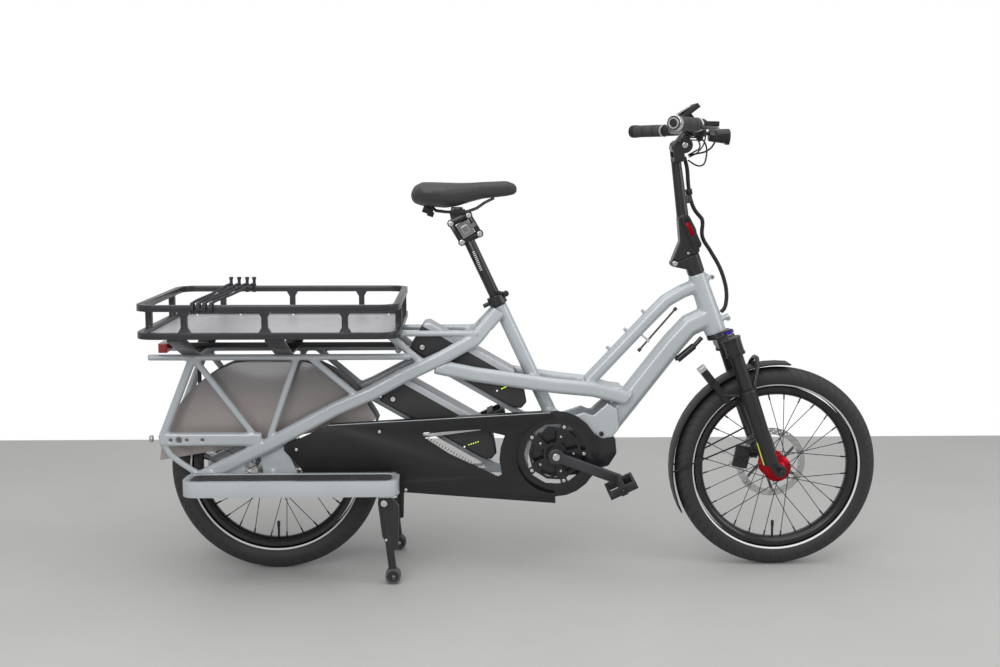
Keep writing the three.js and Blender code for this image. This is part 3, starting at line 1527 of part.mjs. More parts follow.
// Latch lever on the chain side of the mast foot, with a sliding catch in its window
const latchTop = alongMast(88, 0);
const latchAxis = latchTop.clone().sub(latchPivot).normalize();
const onLatch = (run, across) => [
  latchPivot.x + latchAxis.x * run + latchAxis.z * across,
  latchPivot.z + latchAxis.z * run - latchAxis.x * across,
];
const latchLength = 80;
const windowFrom = 26;
const windowTo = 70;
const windowHalf = 5.5;
const latchWindow = sidePlate(
  [
    onLatch(windowFrom, -windowHalf), onLatch(windowTo, -windowHalf), onLatch(windowTo, windowHalf),
    onLatch(windowFrom, windowHalf),
  ],
  latchOuter - 1,
  latchInner + 1,
);
const latchLever = cut(
  sidePlate(
    [
      onLatch(-9, -5), onLatch(-2, -11), onLatch(latchLength - 14, -11), onLatch(latchLength, -7),
      onLatch(latchLength + 4, 0), onLatch(latchLength, 7), onLatch(latchLength - 14, 11),
      onLatch(-2, 11), onLatch(-9, 5),
    ],
    latchOuter,
    latchInner,
  ),
  latchWindow,
  cross(latchPivot.x, latchPivot.z, latchPivotRadius + 0.4, -40, 0, 14),
);
addPiece('latch_lever', latchLever, blackMetal);
const slide = seatGap;
const latchSlider = sidePlate(
  [
    onLatch(windowFrom + slide, -windowHalf + slide), onLatch(windowTo - 9, -windowHalf + slide),
    onLatch(windowTo - 9, windowHalf - slide), onLatch(windowFrom + slide, windowHalf - slide),
  ],
  latchOuter - 1,
  latchInner - seatGap,
);
addPiece('latch_slider', latchSlider, redMetal);

// Control hoses, bundled: one run on the mast, one from the mast to the head tube
function hoseRun(points, radius) {
  return sweep(points, rounded(radius, 8), 13);
}
function upperHosePoints() {
  return [
    alongMast(232, 24, hoseY), alongMast(202, 27.5, hoseY), alongMast(166, 26, hoseY),
    alongMast(146, 26, hoseY), alongMast(121, 28, hoseY), alongMast(97, 34.5, hoseY), alongMast(78, 46, hoseY),
  ];
}
function hoseClearance() {
  return hoseRun(upperHosePoints(), hoseRadius + 0.1);
}
addPiece('hose_upper', hoseRun(upperHosePoints(), hoseRadius - 0.2), softBlack);
const lowerHosePoints = [
  alongMast(77.6, 46.3, hoseY),
  alongMast(71, 50, hoseY),
  alongHead(-241, 45, hoseY),
  alongHead(-201, 53, hoseY),
  alongHead(-157, 62, hoseY),
  alongHead(-118, 63, 11),
  alongHead(-90, 59, 8),
  alongHead(-66, 50, 5),
  alongHead(-52, 40, 2),
  alongHead(-46, 29, 0),
];
addPiece('hose_lower', cut(hoseRun(lowerHosePoints, hoseRadius - 0.2), lugClearance()), softBlack);
function lugClearance() {
  return rod(
    alongHead(seatGap, 0),
    alongHead(-headTubeLength, 0),
    headTubeBottomRadius + seatGap,
    28,
    headTubeTopRadius + seatGap,
  );
}

// Stem, with a hub between the mast's ears and a clamp round the bar
const barCentre = vec(
  stemPivot.x + stemLength * turned(stemAngle).c,
  0,
  stemPivot.z + stemLength * turned(stemAngle).s,
);
const clampHalf = 22;
const clampRadius = 22;
const stem = cut(
  join(
    cross(stemPivot.x, stemPivot.z, 17, -clampHalf, clampHalf, 18),
    beam(stemPivot, barCentre, 32, 26, 6),
    cross(barCentre.x, barCentre.z, clampRadius, -clampHalf, clampHalf, 18),
  ),
  cross(stemPivot.x, stemPivot.z, 4 + runGap, -40, 40, 14),
  cross(barCentre.x, barCentre.z, barClampRadius + seatGap, -40, 40, 18),
);
addPiece('stem', stem, blackMetal);

// Handlebar: straight in the clamp, then swept back to the grips
const sweepBack = turned(gripSweep);
const barEnd = (side) => vec(barCentre.x - 100.8, side * barHalfWidth, barCentre.z);
const onGrip = (side, inward, lift = 0) => {
  const end = barEnd(side);
  return vec(end.x + sweepBack.s * inward, side * (barHalfWidth - sweepBack.c * inward), end.z + lift);
};
const barMiddle = (side) => [
  vec(barCentre.x, side * 40, barCentre.z),
  vec(barCentre.x - 0.5, side * 74, barCentre.z),
  vec(barCentre.x - 6.5, side * (barHalfWidth - 192), barCentre.z),
];
const barSide = (side, radius) =>
  join(
    sweep([...barMiddle(side), onGrip(side, gripLength + 16), onGrip(side, gripLength + 1)], rounded(radius, 8), 7),
    rod(onGrip(side, gripLength + 2), onGrip(side, 1), radius, 8),
  );
const handlebar = join(
  cross(barCentre.x, barCentre.z, barClampRadius, -58, 58, 18),
  ...bothSides((side) => barSide(side, barRadius)),
);
addPiece('handlebar', handlebar, blackMetal);
const barClearance = bothSides((side) => barSide(side, barRadius + seatGap));
const grip = (side) =>
  join(
    rod(onGrip(side, gripLength), onGrip(side, 27), gripRadius, 12),
    rod(onGrip(side, 28), onGrip(side, 2), gripRadius + 0.6, 12),
  );
const gripBore = (side) =>
  rod(onGrip(side, gripLength + 3), onGrip(side, -3), barRadius + seatGap + 0.3, 8);
addPiece('grip_right', cut(grip(-1), gripBore(-1)), softBlack);
addPiece('grip_left', cut(grip(1), gripBore(1)), softBlack);

// Brake perches, levers and the shifter under the right grip
const leverPivotX = barCentre.x + 19.5;
const leverPivotY = barHalfWidth - gripLength - 12;
const perch = (side) => {
  const inner = onGrip(side, gripLength + 26);
  const outer = onGrip(side, gripLength + 3);
  return join(
    rod(inner, outer, 15, 12),
    block(vec(barCentre.x + 4, side * (leverPivotY + 9.5), barCentre.z + 2.8), vec(44, 28, 12)),
    rod(
      vec(leverPivotX, side * leverPivotY, barCentre.z - 12),
      vec(leverPivotX, side * leverPivotY, barCentre.z + 6),
      3,
      12,
    ),
  );
};
const shifterY = 22 - leverPivotY;
const shifter = join(
  cross(barCentre.x - 10.5, barCentre.z, 15, shifterY - 9, shifterY + 9, 16),
  rod(
    vec(barCentre.x - 10.5, shifterY, barCentre.z - 10),
    vec(barCentre.x - 10.5, shifterY, barCentre.z - 26),
    15,
    16,
  ),
  rod(
    vec(barCentre.x - 10.5, shifterY, barCentre.z - 20),
    vec(barCentre.x - 10.5, shifterY, barCentre.z - 37),
    3,
    12,
  ),
);
const shifterArm = rod(
  vec(barCentre.x - 10.5, shifterY, barCentre.z - 14),
  vec(barCentre.x + 4.5, -leverPivotY - 3, barCentre.z + 1),
  4.5,
  6,
);
addPiece('brake_perch_right', cut(join(perch(-1), shifter, shifterArm), barClearance), blackPlastic);
addPiece('brake_perch_left', cut(perch(1), barClearance), blackPlastic);
const paddleBore = (x, y) => rod(vec(x, y, barCentre.z - 60), vec(x, y, barCentre.z - 10), 3.5, 16);
const paddle = (z, reachX, reachY, thickness) => {
  const x = barCentre.x - 10.5;
  return join(
    rod(vec(x, shifterY, z), vec(x, shifterY, z - thickness), 8, 14),
    beam(vec(x, shifterY, z - thickness / 2), vec(x + reachX, shifterY + reachY, z - thickness / 2), 9, thickness, 1),
  );
};
const paddles = cut(
  join(
    paddle(barCentre.z - 26.4, -38, -26, 3),
    paddle(barCentre.z - 32.4, -44, -44, 3),
    rod(
      vec(barCentre.x - 10.5, shifterY, barCentre.z - 29),
      vec(barCentre.x - 10.5, shifterY, barCentre.z - 33),
      6,
      14,
    ),
  ),
  paddleBore(barCentre.x - 10.5, shifterY),
);
addPiece('shifter_paddles', paddles, blackPlastic);
const brakeLever = (side) => {
  const z = barCentre.z - 8;
  const blade = sweep(
    [
      vec(leverPivotX, side * leverPivotY, z),
      vec(leverPivotX + 1, side * (leverPivotY + 24), z),
      vec(leverPivotX - 12, side * (leverPivotY + 70), z - 1),
      vec(leverPivotX - 42, side * (leverPivotY + 112), z - 1),
      vec(leverPivotX - 54, side * (leverPivotY + 130), z - 1),
    ],
    roundShape(4.5, 6, 1.2),
    6,
  );
  return cut(
    join(
      blade,
      rod(vec(leverPivotX, side * leverPivotY, z - 4), vec(leverPivotX, side * leverPivotY, z + 3.6), 9, 16),
    ),
    rod(vec(leverPivotX, side * leverPivotY, z - 20), vec(leverPivotX, side * leverPivotY, z + 20), 3.5, 16),
  );
};
addPiece('brake_lever_right', brakeLever(-1), blackMetal);
addPiece('brake_lever_left', brakeLever(1), blackMetal);

// Display on top of the stem clamp and headlight in front of it
const displayTilt = -37;
const clampClearance = cross(barCentre.x, barCentre.z, clampRadius + seatGap, -60, 60, 18);
const displayPiece = cut(
  join(
    block(vec(barCentre.x - 12.5, 0, barCentre.z + 36.5), vec(60, 85, 12), displayTilt),
    block(vec(barCentre.x - 6, 0, barCentre.z + 24), vec(20, 24, 22), displayTilt),
  ),
  clampClearance,
);
addPiece('display', displayPiece, blackPlastic);
const headlight = cut(
  join(
    rod(vec(barCentre.x + 44, 0, barCentre.z - 18), vec(barCentre.x + 94, 0, barCentre.z - 21), 15, 14, 19),
    block(vec(barCentre.x + 30, 0, barCentre.z - 11), vec(42, 14, 9), 14),
  ),
  clampClearance,
);
addPiece('headlight', headlight, blackPlastic);

// The origin lies on the ground, under the middle of the length
bike.position.x = -(wheelbase + frontTyreRadius - rackRailRear) / 2;
export default bike;
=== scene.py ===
# Longtail cargo bike: paint, rubber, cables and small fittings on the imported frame.
import math
import bpy
from mathutils import Matrix, Vector
from mathutils.bvhtree import BVHTree
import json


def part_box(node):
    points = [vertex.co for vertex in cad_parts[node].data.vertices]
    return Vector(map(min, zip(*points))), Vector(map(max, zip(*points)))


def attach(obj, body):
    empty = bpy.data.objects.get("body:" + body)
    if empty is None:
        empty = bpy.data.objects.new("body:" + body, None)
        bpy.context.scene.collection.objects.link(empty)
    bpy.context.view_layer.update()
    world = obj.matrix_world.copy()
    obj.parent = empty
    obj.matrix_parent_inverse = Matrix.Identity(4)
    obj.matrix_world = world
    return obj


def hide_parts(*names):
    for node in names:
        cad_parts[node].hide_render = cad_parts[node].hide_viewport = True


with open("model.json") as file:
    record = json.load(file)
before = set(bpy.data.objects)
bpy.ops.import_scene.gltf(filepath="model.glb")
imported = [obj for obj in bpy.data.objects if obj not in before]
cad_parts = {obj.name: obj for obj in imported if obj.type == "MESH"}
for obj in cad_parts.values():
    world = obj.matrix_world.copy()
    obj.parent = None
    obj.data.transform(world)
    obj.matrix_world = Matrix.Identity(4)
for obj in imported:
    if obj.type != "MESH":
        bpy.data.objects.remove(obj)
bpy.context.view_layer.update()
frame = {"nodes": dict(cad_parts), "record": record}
cadNodes = frame["nodes"]
bodyOfNode = {n: b for b, ns in frame["record"]["behaviour"]["bodies"].items() for n in ns}
middleX = 617.5  # millimetres from the rear axle to the middle of the bike's length


def spot(x, y, z):  # millimetres from the ground under the rear axle, to metres in the bike's own frame
    return Vector(((x - middleX) / 1000, y / 1000, z / 1000))


rearAxle = spot(0, 0, 265)
frontAxle = spot(1274, 0, 258)

# Camera, at the photograph's place and angle
cameraView = {"lens": 44.89, "place": (479.5, -3119.2, 1020.3), "yaw": 1.607, "pitch": 7.627, "roll": 0.064}


def setCamera(v):
    yaw, pitch, roll = (math.radians(v[k]) for k in ("yaw", "pitch", "roll"))
    forward = Vector((math.sin(yaw) * math.cos(pitch), math.cos(yaw) * math.cos(pitch), -math.sin(pitch)))
    level = Vector((math.cos(yaw), -math.sin(yaw), 0))
    lift = level.cross(forward)
    right = math.cos(roll) * level + math.sin(roll) * lift
    up = math.cos(roll) * lift - math.sin(roll) * level
    data = bpy.data.cameras.new("photoCamera")
    data.lens = v["lens"]
    data.sensor_width = 36
    camera = bpy.data.objects.new("photoCamera", data)
    turn = Matrix((right, up, -forward)).transposed().to_4x4()
    camera.matrix_world = Matrix.Translation(spot(*v["place"])) @ turn
    bpy.context.scene.collection.objects.link(camera)
    bpy.context.scene.camera = camera


setCamera(cameraView)
print("camera set")


# Shader maths, written as expressions on sockets
def mathOf(operation, swapped=False):
    def pair(self, other):
        first, second = (other, self) if swapped else (self, other)
        return self.finish.node("ShaderNodeMath", {"operation": operation}, {0: first, 1: second})
    return pair


class Signal:
    __add__, __radd__ = mathOf("ADD"), mathOf("ADD", True)
    __sub__, __rsub__ = mathOf("SUBTRACT"), mathOf("SUBTRACT", True)
    __mul__, __rmul__ = mathOf("MULTIPLY"), mathOf("MULTIPLY", True)
    __gt__, __lt__ = mathOf("GREATER_THAN"), mathOf("LESS_THAN")
    __truediv__ = mathOf("DIVIDE")

    def __init__(self, finish, socket):
        self.finish, self.socket = finish, socket

    def __abs__(self):
        return self.finish.function("ABSOLUTE", self)


class Finish:
    def __init__(self, name, colour, roughness, metallic=0.0, coat=0.0, specular=0.5):
        self.material = bpy.data.materials.new(name)
        self.material.use_nodes = True
        self.tree = self.material.node_tree
        self.shader = self.tree.nodes["Principled BSDF"]
        constants = {"Base Color": (*colour, 1), "Roughness": roughness, "Metallic": metallic,
                     "Coat Weight": coat, "Coat Roughness": 0.08, "Specular IOR Level": specular}
        for socket, value in constants.items():
            self.shader.inputs[socket].default_value = value

    def node(self, kind, settings=None, sockets=None, output=0):
        made = self.tree.nodes.new(kind)
        for key, value in (settings or {}).items():
            setattr(made, key, value)
        for key, value in (sockets or {}).items():
            if isinstance(value, Signal):
                self.tree.links.new(value.socket, made.inputs[key])
            else:
                made.inputs[key].default_value = value
        return Signal(self, made.outputs[output])

    def place(self):  # the point on the object, in its own coordinates
        return self.node("ShaderNodeTexCoord", output=3)

    def axes(self, place):
        return [self.node("ShaderNodeSeparateXYZ", sockets={0: place}, output=i) for i in range(3)]

    def polar(self, place, centre):  # the distance from an axle, and the angle round it
        x, z = self.axes(place)[::2]
        x, z = x - centre.x, z - centre.z
        angle = self.node("ShaderNodeMath", {"operation": "ARCTAN2"}, {0: z, 1: x})
        return self.function("SQRT", x * x + z * z), angle

    def noise(self, place, scale, detail=2.0, roughness=0.5):
        sockets = {"Vector": place, "Scale": scale, "Detail": detail, "Roughness": roughness}
        return self.node("ShaderNodeTexNoise", sockets=sockets)

    def cells(self, place, scale):
        return self.node("ShaderNodeTexVoronoi", sockets={"Vector": place, "Scale": scale})

    def stretched(self, place, scale):
        return self.node("ShaderNodeMapping", sockets={"Vector": place, "Scale": scale})

    def function(self, operation, value):
        return self.node("ShaderNodeMath", {"operation": operation}, {0: value})

    def wave(self, turns):  # 0.5 at each whole turn, falling to 0 half-way between two
        return abs(self.function("FRACT", turns) - 0.5)

    def ramp(self, value, low, high, toLow=0.0, toHigh=1.0):
        sockets = {"Value": value, "From Min": low, "From Max": high, "To Min": toLow, "To Max": toHigh}
        return self.node("ShaderNodeMapRange", {"interpolation_type": "SMOOTHSTEP"}, sockets)

    def blend(self, factor, first, second):
        first, second = ((*c, 1) if isinstance(c, tuple) else c for c in (first, second))
        return self.node("ShaderNodeMix", {"data_type": "RGBA"}, {0: factor, 6: first, 7: second}, output=2)

    def feed(self, **sockets):
        names = {"colour": "Base Color", "roughness": "Roughness", "metallic": "Metallic", "alpha": "Alpha",
                 "glow": "Emission Color"}
        for key, value in sockets.items():
            self.tree.links.new(value.socket, self.shader.inputs[names[key]])

    def bump(self, height, strength, distance):
        sockets = {"Height": height, "Strength": strength, "Distance": distance}
        made = self.node("ShaderNodeBump", sockets=sockets)
        self.tree.links.new(made.socket, self.shader.inputs["Normal"])
        return self.material


def shade(colour, factor):
    return tuple(factor * c for c in colour)


# Frame paint: pale blue grey, glossy, with a faint orange peel and dust low down
framePaint = {"colour": (0.43, 0.462, 0.486), "shade": (0.385, 0.416, 0.44), "dust": (0.36, 0.36, 0.35),
              "roughness": 0.24, "coat": 0.85}


def makeFramePaint(name, v):
    f = Finish(name, v["colour"], v["roughness"], coat=v["coat"])
    place = f.place()
    cloud = f.ramp(f.noise(place, 7, 3), 0.35, 0.7)
    dust = f.noise(place, 90, 5, 0.7)
    low = f.ramp(f.axes(place)[2], 0.15, 0.45, 0.5, 0.0)
    colour = f.blend(cloud * 0.6, v["colour"], v["shade"])
    colour = f.blend(f.ramp(dust, 0.55, 0.75) * low * 0.5, colour, v["dust"])
    f.feed(colour=colour, roughness=cloud * 0.06 + (v["roughness"] - 0.03))
    return f.bump(f.noise(place, 240, 1), 0.02, 0.0001)


# Coated dark metal: a fine powder texture, a little paler where it is rubbed
coatedLooks = {  # colour, roughness, grain, metallic, coat, strength of the grain
    "satinBlack": ((0.014, 0.014, 0.016), 0.32, 1500, 0.0, 0.5, 0.08),
    "glossBlack": ((0.012, 0.012, 0.014), 0.28, 700, 0.0, 0.3, 0.05),
    "forkBlack": ((0.015, 0.015, 0.017), 0.4, 1100, 0.0, 0.35, 0.08),
    "trayBlack": ((0.024, 0.023, 0.027), 0.36, 1300, 0.0, 0.35, 0.12),
    "crankGrey": ((0.06, 0.06, 0.065), 0.4, 900, 0.5, 0.0, 0.15),
}


def makeCoated(name, colour, roughness, grain, metallic, coat, strength):
    f = Finish(name, colour, roughness, metallic, coat, specular=0.3)
    place = f.place()
    rub = f.ramp(f.noise(place, 35, 5, 0.65), 0.5, 0.8)
    f.feed(colour=f.blend(rub * 0.45, colour, shade(colour, 1.7)),
           roughness=f.noise(place, 60, 3) * 0.16 + (roughness - 0.08))
    return f.bump(f.noise(place, grain, 2), strength, 0.0002)


# Machined or drawn metal: streaks along one axis
metalLooks = {  # colour, roughness, how the streaks are squeezed along X, Y and Z
    "steel": ((0.56, 0.56, 0.57), 0.3, (4, 300, 300)),
    "bolt": ((0.7, 0.7, 0.71), 0.25, (200, 200, 4)),
    "redAnodised": ((0.42, 0.012, 0.02), 0.3, (4, 300, 4)),
    "purpleAnodised": ((0.09, 0.05, 0.42), 0.35, (200, 200, 4)),
    "silverCollar": ((0.75, 0.75, 0.76), 0.22, (200, 4, 200)),
}


def makeMetal(name, colour, roughness, streak):
    f = Finish(name, colour, roughness, 1.0)
    lines = f.noise(f.stretched(f.place(), streak), 6, 3, 0.6)
    f.feed(colour=f.blend(lines, colour, shade(colour, 0.8)), roughness=lines * 0.2 + (roughness - 0.1))
    return f.bump(lines, 0.08, 0.0002)


# Tyre: dark rubber, shoulder blocks, a pale stripe low on the wall and faint dust on the tread
# The grooves and the side rib lines are darkened with painted shade.
tyreLook = {"colour": (0.02, 0.02, 0.022), "tread": (0.04, 0.04, 0.041), "grooveAndPaintedShade": (0.012, 0.012, 0.013),
            "pale": (0.78, 0.78, 0.77), "stripe": 0.2135, "stripeHalf": 0.0016, "blocks": 62, "lean": 26.0}


def makeTyre(name, centre, v):
    f = Finish(name, v["colour"], 0.62)
    place = f.place()
    radius, angle = f.polar(place, centre)
    side = abs(f.axes(place)[1])
    stripe = f.ramp(abs(radius - v["stripe"]), v["stripeHalf"] * 1.4, v["stripeHalf"] * 0.8)
    wave = f.wave(angle * (v["blocks"] / (2 * math.pi)) + side * (v["lean"] * 2))
    shoulder = f.ramp(side, 0.009, 0.012) * f.ramp(radius, centre.z - 0.028, centre.z - 0.022)
    grooveAndPaintedShade = f.ramp(wave, 0.09, 0.05) * shoulder
    ribs = f.ramp(abs(side - 0.0105), 0.0012, 0.0006) + f.ramp(side, 0.0014, 0.0007)
    ribs = ribs * f.ramp(radius, centre.z - 0.01, centre.z - 0.006)
    dust = f.noise(place, 220, 5, 0.7) * f.ramp(radius, centre.z - 0.03, centre.z - 0.004)
    colour = f.blend(dust, v["colour"], v["tread"])
    # painted shade: the grooves between the shoulder blocks and the side rib lines are darkened
    colour = f.blend(grooveAndPaintedShade + ribs, colour, v["grooveAndPaintedShade"])
    colour = f.blend(stripe, colour, v["pale"])
    f.feed(colour=colour, roughness=0.72 - stripe * 0.4 - f.noise(place, 50, 2) * 0.16)
    return f.bump((1 - grooveAndPaintedShade - ribs) * 0.8 + f.noise(place, 700, 2) * 0.05, 0.35, 0.0012)


# Brake disc: bright steel, brushed round the centre, with rows of drillings in the braking ring
discLooks = {  # the rows are a radius in metres and a share of a turn between two holes
    "frontDiscSteel": (frontAxle, {"rows": ((0.0765, 0.0), (0.0815, 0.33), (0.086, 0.66)), "count": 30,
                                   "hole": 0.0021, "inner": 0.0715}),
    "rearDiscSteel": (rearAxle, {"rows": ((0.0665, 0.0), (0.0715, 0.33), (0.0765, 0.66)), "count": 26,
                                 "hole": 0.0021, "inner": 0.0625}),
}


def makeDisc(name, centre, v):
    f = Finish(name, (0.5, 0.5, 0.5), 0.28, 1.0)
    radius, angle = f.polar(f.place(), centre)
    solid = 1
    for row, share in v["rows"]:
        across = f.wave(angle * (v["count"] / (2 * math.pi)) + share) * (2 * math.pi * row / v["count"])
        away = radius - row
        hole = f.ramp(f.function("SQRT", across * across + away * away), v["hole"], v["hole"] * 0.75)
        solid = solid - hole
    rings = f.noise(f.node("ShaderNodeCombineXYZ", sockets={0: radius * 900, 1: angle * 0.6}), 1.0, 3)
    colour = f.blend(rings, (0.62, 0.62, 0.62), (0.4, 0.4, 0.4))
    colour = f.blend(f.ramp(radius, v["inner"], v["inner"] - 0.002), colour, (0.16, 0.16, 0.165))
    f.feed(colour=colour, roughness=rings * 0.2 + 0.2, alpha=solid)
    return f.bump(rings, 0.1, 0.0002)


# Rubber and moulded plastic: fine pits over a soft unevenness
mouldedLooks = {  # colour, roughness, pits, depth of the pits, how much paler where it is worn
    "blackPlastic": ((0.018, 0.018, 0.02), 0.5, 1200, 0.2, 1.5),
    "casePlastic": ((0.014, 0.0135, 0.0145), 0.42, 1500, 0.1, 1.3),
    "cableRubber": ((0.015, 0.015, 0.016), 0.45, 800, 0.12, 1.5),
    "deckPad": ((0.05, 0.05, 0.053), 0.7, 330, 0.6, 1.5),
    "coverGrey": ((0.15, 0.15, 0.157), 0.45, 900, 0.15, 1.5),
    "standGrey": ((0.09, 0.088, 0.09), 0.6, 700, 0.3, 1.5),
}


def makeMoulded(name, colour, roughness, pits, strength, pale):
    f = Finish(name, colour, roughness, specular=0.3)
    place = f.place()
    cloud = f.ramp(f.noise(place, 18, 4, 0.6), 0.4, 0.75)
    f.feed(colour=f.blend(cloud * 0.5, colour, shade(colour, pale)),
           roughness=cloud * 0.12 + (roughness - 0.05))
    return f.bump(f.cells(place, pits), strength, 0.0003)


# Saddle cover: grained vinyl with soft folds
saddleLook = {"colour": (0.032, 0.032, 0.034), "deep": (0.02, 0.02, 0.021), "high": (0.042, 0.042, 0.045)}


def makeSaddleCover(name, v):
    f = Finish(name, v["colour"], 0.5)
    place = f.place()
    grain, fold = f.cells(place, 420), f.noise(place, 60, 4, 0.6)
    f.feed(colour=f.blend(f.ramp(grain, 0.0, 0.6), v["deep"], v["high"]), roughness=fold * 0.2 + 0.38)
    return f.bump(grain * 0.7 + fold * 0.3, 0.35, 0.0006)


# Smoked panel: see-through brown grey, darker to the top, with light scratches
smokedLook = {"colour": (0.2, 0.185, 0.175), "pale": (0.46, 0.42, 0.4), "cloud": (0.34, 0.31, 0.3),
              "top": (0.2, 0.19, 0.19), "alpha": 0.8}


def makeSmoked(name, v):
    f = Finish(name, v["colour"], 0.25, coat=0.4)
    place = f.place()
    scratch = f.ramp(f.noise(f.stretched(place, (3, 3, 160)), 8, 5, 0.7), 0.62, 0.7)
    pale = f.blend(f.noise(place, 6, 3), v["pale"], v["cloud"])
    f.feed(colour=f.blend(f.ramp(f.axes(place)[2], 0.38, 0.53), pale, v["top"]),
           roughness=scratch * 0.25 + 0.16, alpha=scratch * 0.05 + v["alpha"])
    return f.bump(scratch, 0.05, 0.0002)


# Battery shell: satin silver over the top, black below, split along the battery's own axes
batteryLook = {"angle": 30.0, "silver": (0.50, 0.52, 0.55), "black": (0.018, 0.018, 0.02),
               "worn": (0.03, 0.03, 0.033), "gap": (0.006, 0.006, 0.006), "seam": 0.0665, "end": 0.262}


def makeBattery(name, corner, v):
    f = Finish(name, v["black"], 0.35)
    place = f.place()
    x, z = f.axes(place)[::2]
    c, s = math.cos(math.radians(v["angle"])), math.sin(math.radians(v["angle"]))
    lift = (x - corner.x) * s + (z - corner.z) * c
    down = (x - corner.x) * c - (z - corner.z) * s
    top = f.ramp(lift, v["seam"], v["seam"] + 0.0015) * f.ramp(down, v["end"], v["end"] - 0.004)
    seam = f.ramp(abs(lift - v["seam"]), 0.001, 0.0004)
    grain = f.noise(place, 1300, 2)
    colour = f.blend(top, f.blend(f.noise(place, 30, 3), v["black"], v["worn"]), v["silver"])
    f.feed(colour=f.blend(seam, colour, v["gap"]), roughness=0.42 - top * 0.08 + grain * 0.1,
           metallic=top * 0.55)
    return f.bump(grain * 0.3 - seam, 0.25, 0.0005)


# Woven cord and the ribbed grips follow their own axes
weaveLook = {"colour": (0.03, 0.03, 0.035), "deep": (0.012, 0.012, 0.016), "high": (0.07, 0.07, 0.085)}


def makeWeave(name, v):
    f = Finish(name, v["colour"], 0.75)
    x, y = f.axes(f.place())[:2]
    weave = f.function("SINE", y * 2600 + x * 1500) * f.function("SINE", y * 2600 - x * 1500)
    f.feed(colour=f.blend(f.ramp(weave, -0.2, 0.8), v["deep"], v["high"]), roughness=weave * 0.1 + 0.75)
    return f.bump(weave, 0.5, 0.0008)


gripLook = {"colour": (0.028, 0.028, 0.03), "deep": (0.018, 0.018, 0.02), "high": (0.045, 0.045, 0.048)}


def makeGrip(name, v):
    f = Finish(name, v["colour"], 0.72)
    place = f.place()
    x, y = f.axes(place)[:2]
    along = abs(y) * 0.82 - x * 0.57
    ribs = f.wave(along * 260)
    pad = f.ramp(f.function("FRACT", along * 26), 0.1, 0.2)
    f.feed(colour=f.blend(pad, v["deep"], v["high"]), roughness=0.62 + ribs * 0.3)
    return f.bump(ribs * pad + f.cells(place, 900) * 0.3, 0.45, 0.0009)


# Lenses, lights and marks: smooth and ribbed, with a little light of their own; the yellow mark's glow is
# painted light
glowLooks = {  # colour, glow, strength of the glow
    "redLens": ((0.35, 0.006, 0.01), (0.3, 0.0, 0.0), 0.15),
    "lampLens": ((0.6, 0.62, 0.65), (0.3, 0.3, 0.3), 0.1),
    "ledGreen": ((0.55, 0.8, 0.05), (0.6, 1.0, 0.05), 1.2),
    "ledWhite": ((0.8, 0.8, 0.8), (1.0, 1.0, 1.0), 0.6),
    # painted light: the yellow travel mark glows though it is no lamp
    "yellowMark": ((0.75, 0.85, 0.02), (0.75, 0.85, 0.02), 0.1),
    "screenGlass": ((0.01, 0.012, 0.015), (0.0, 0.01, 0.02), 0.2),
}


def makeGlow(name, colour, glow, strength):
    f = Finish(name, colour, 0.2, coat=0.6)
    place = f.place()
    ribs = f.function("SINE", f.axes(place)[2] * 3000)
    f.shader.inputs["Emission Strength"].default_value = strength
    f.feed(colour=f.blend(f.ramp(ribs, -1, 1), colour, shade(colour, 0.7)),
           glow=f.blend(f.noise(place, 300), glow, shade(glow, 0.8)))
    return f.bump(ribs, 0.2, 0.0004)


# Tray floor: brushed, with faint rubbing marks
plateLook = {"colour": (0.55, 0.55, 0.57), "pale": (0.58, 0.58, 0.6), "dark": (0.48, 0.48, 0.5),
             "rubbed": (0.36, 0.36, 0.37)}


def makePlate(name, v):
    f = Finish(name, v["colour"], 0.42, 0.35)
    place = f.place()
    lines = f.noise(f.stretched(place, (5, 260, 5)), 3, 4, 0.6)
    mark = f.ramp(f.noise(place, 14, 6, 0.7), 0.56, 0.68)
    f.feed(colour=f.blend(mark * 0.5, f.blend(lines, v["pale"], v["dark"]), v["rubbed"]),
           roughness=lines * 0.2 + 0.3)
    return f.bump(lines, 0.06, 0.0003)


# Seat post: satin black, with a row of white height marks on the near side
postLook = {"start": (500.4, 0, 809.5), "end": (519.0, 0, 764.6), "count": 11, "half": 0.00085,
            "halfWidth": 0.0033, "colour": (0.014, 0.014, 0.016), "mark": (0.75, 0.75, 0.75)}


def makePost(name, v):
    f = Finish(name, v["colour"], 0.32, coat=0.5, specular=0.3)
    place = f.place()
    x, y, z = f.axes(place)
    start, end = spot(*v["start"]), spot(*v["end"])
    length, slope = (end - start).length, (end - start).normalized()
    pitch = length / (v["count"] - 1)
    along = (x - start.x) * slope.x + (z - start.z) * slope.z
    across = abs((x - start.x) * slope.z - (z - start.z) * slope.x)
    mark = f.ramp(f.wave(along / pitch + 0.5) * pitch, v["half"] * 1.15, v["half"] * 0.85)
    mark = mark * f.ramp(across, v["halfWidth"] * 1.05, v["halfWidth"] * 0.95)
    mark = mark * (along > -0.3 * pitch) * (along < length + 0.3 * pitch) * (y < 0)
    f.feed(colour=f.blend(mark, v["colour"], v["mark"]),
           roughness=mark * 0.15 + f.noise(place, 60, 3) * 0.16 + 0.24)
    return f.bump(f.noise(place, 1500, 2), 0.08, 0.0002)


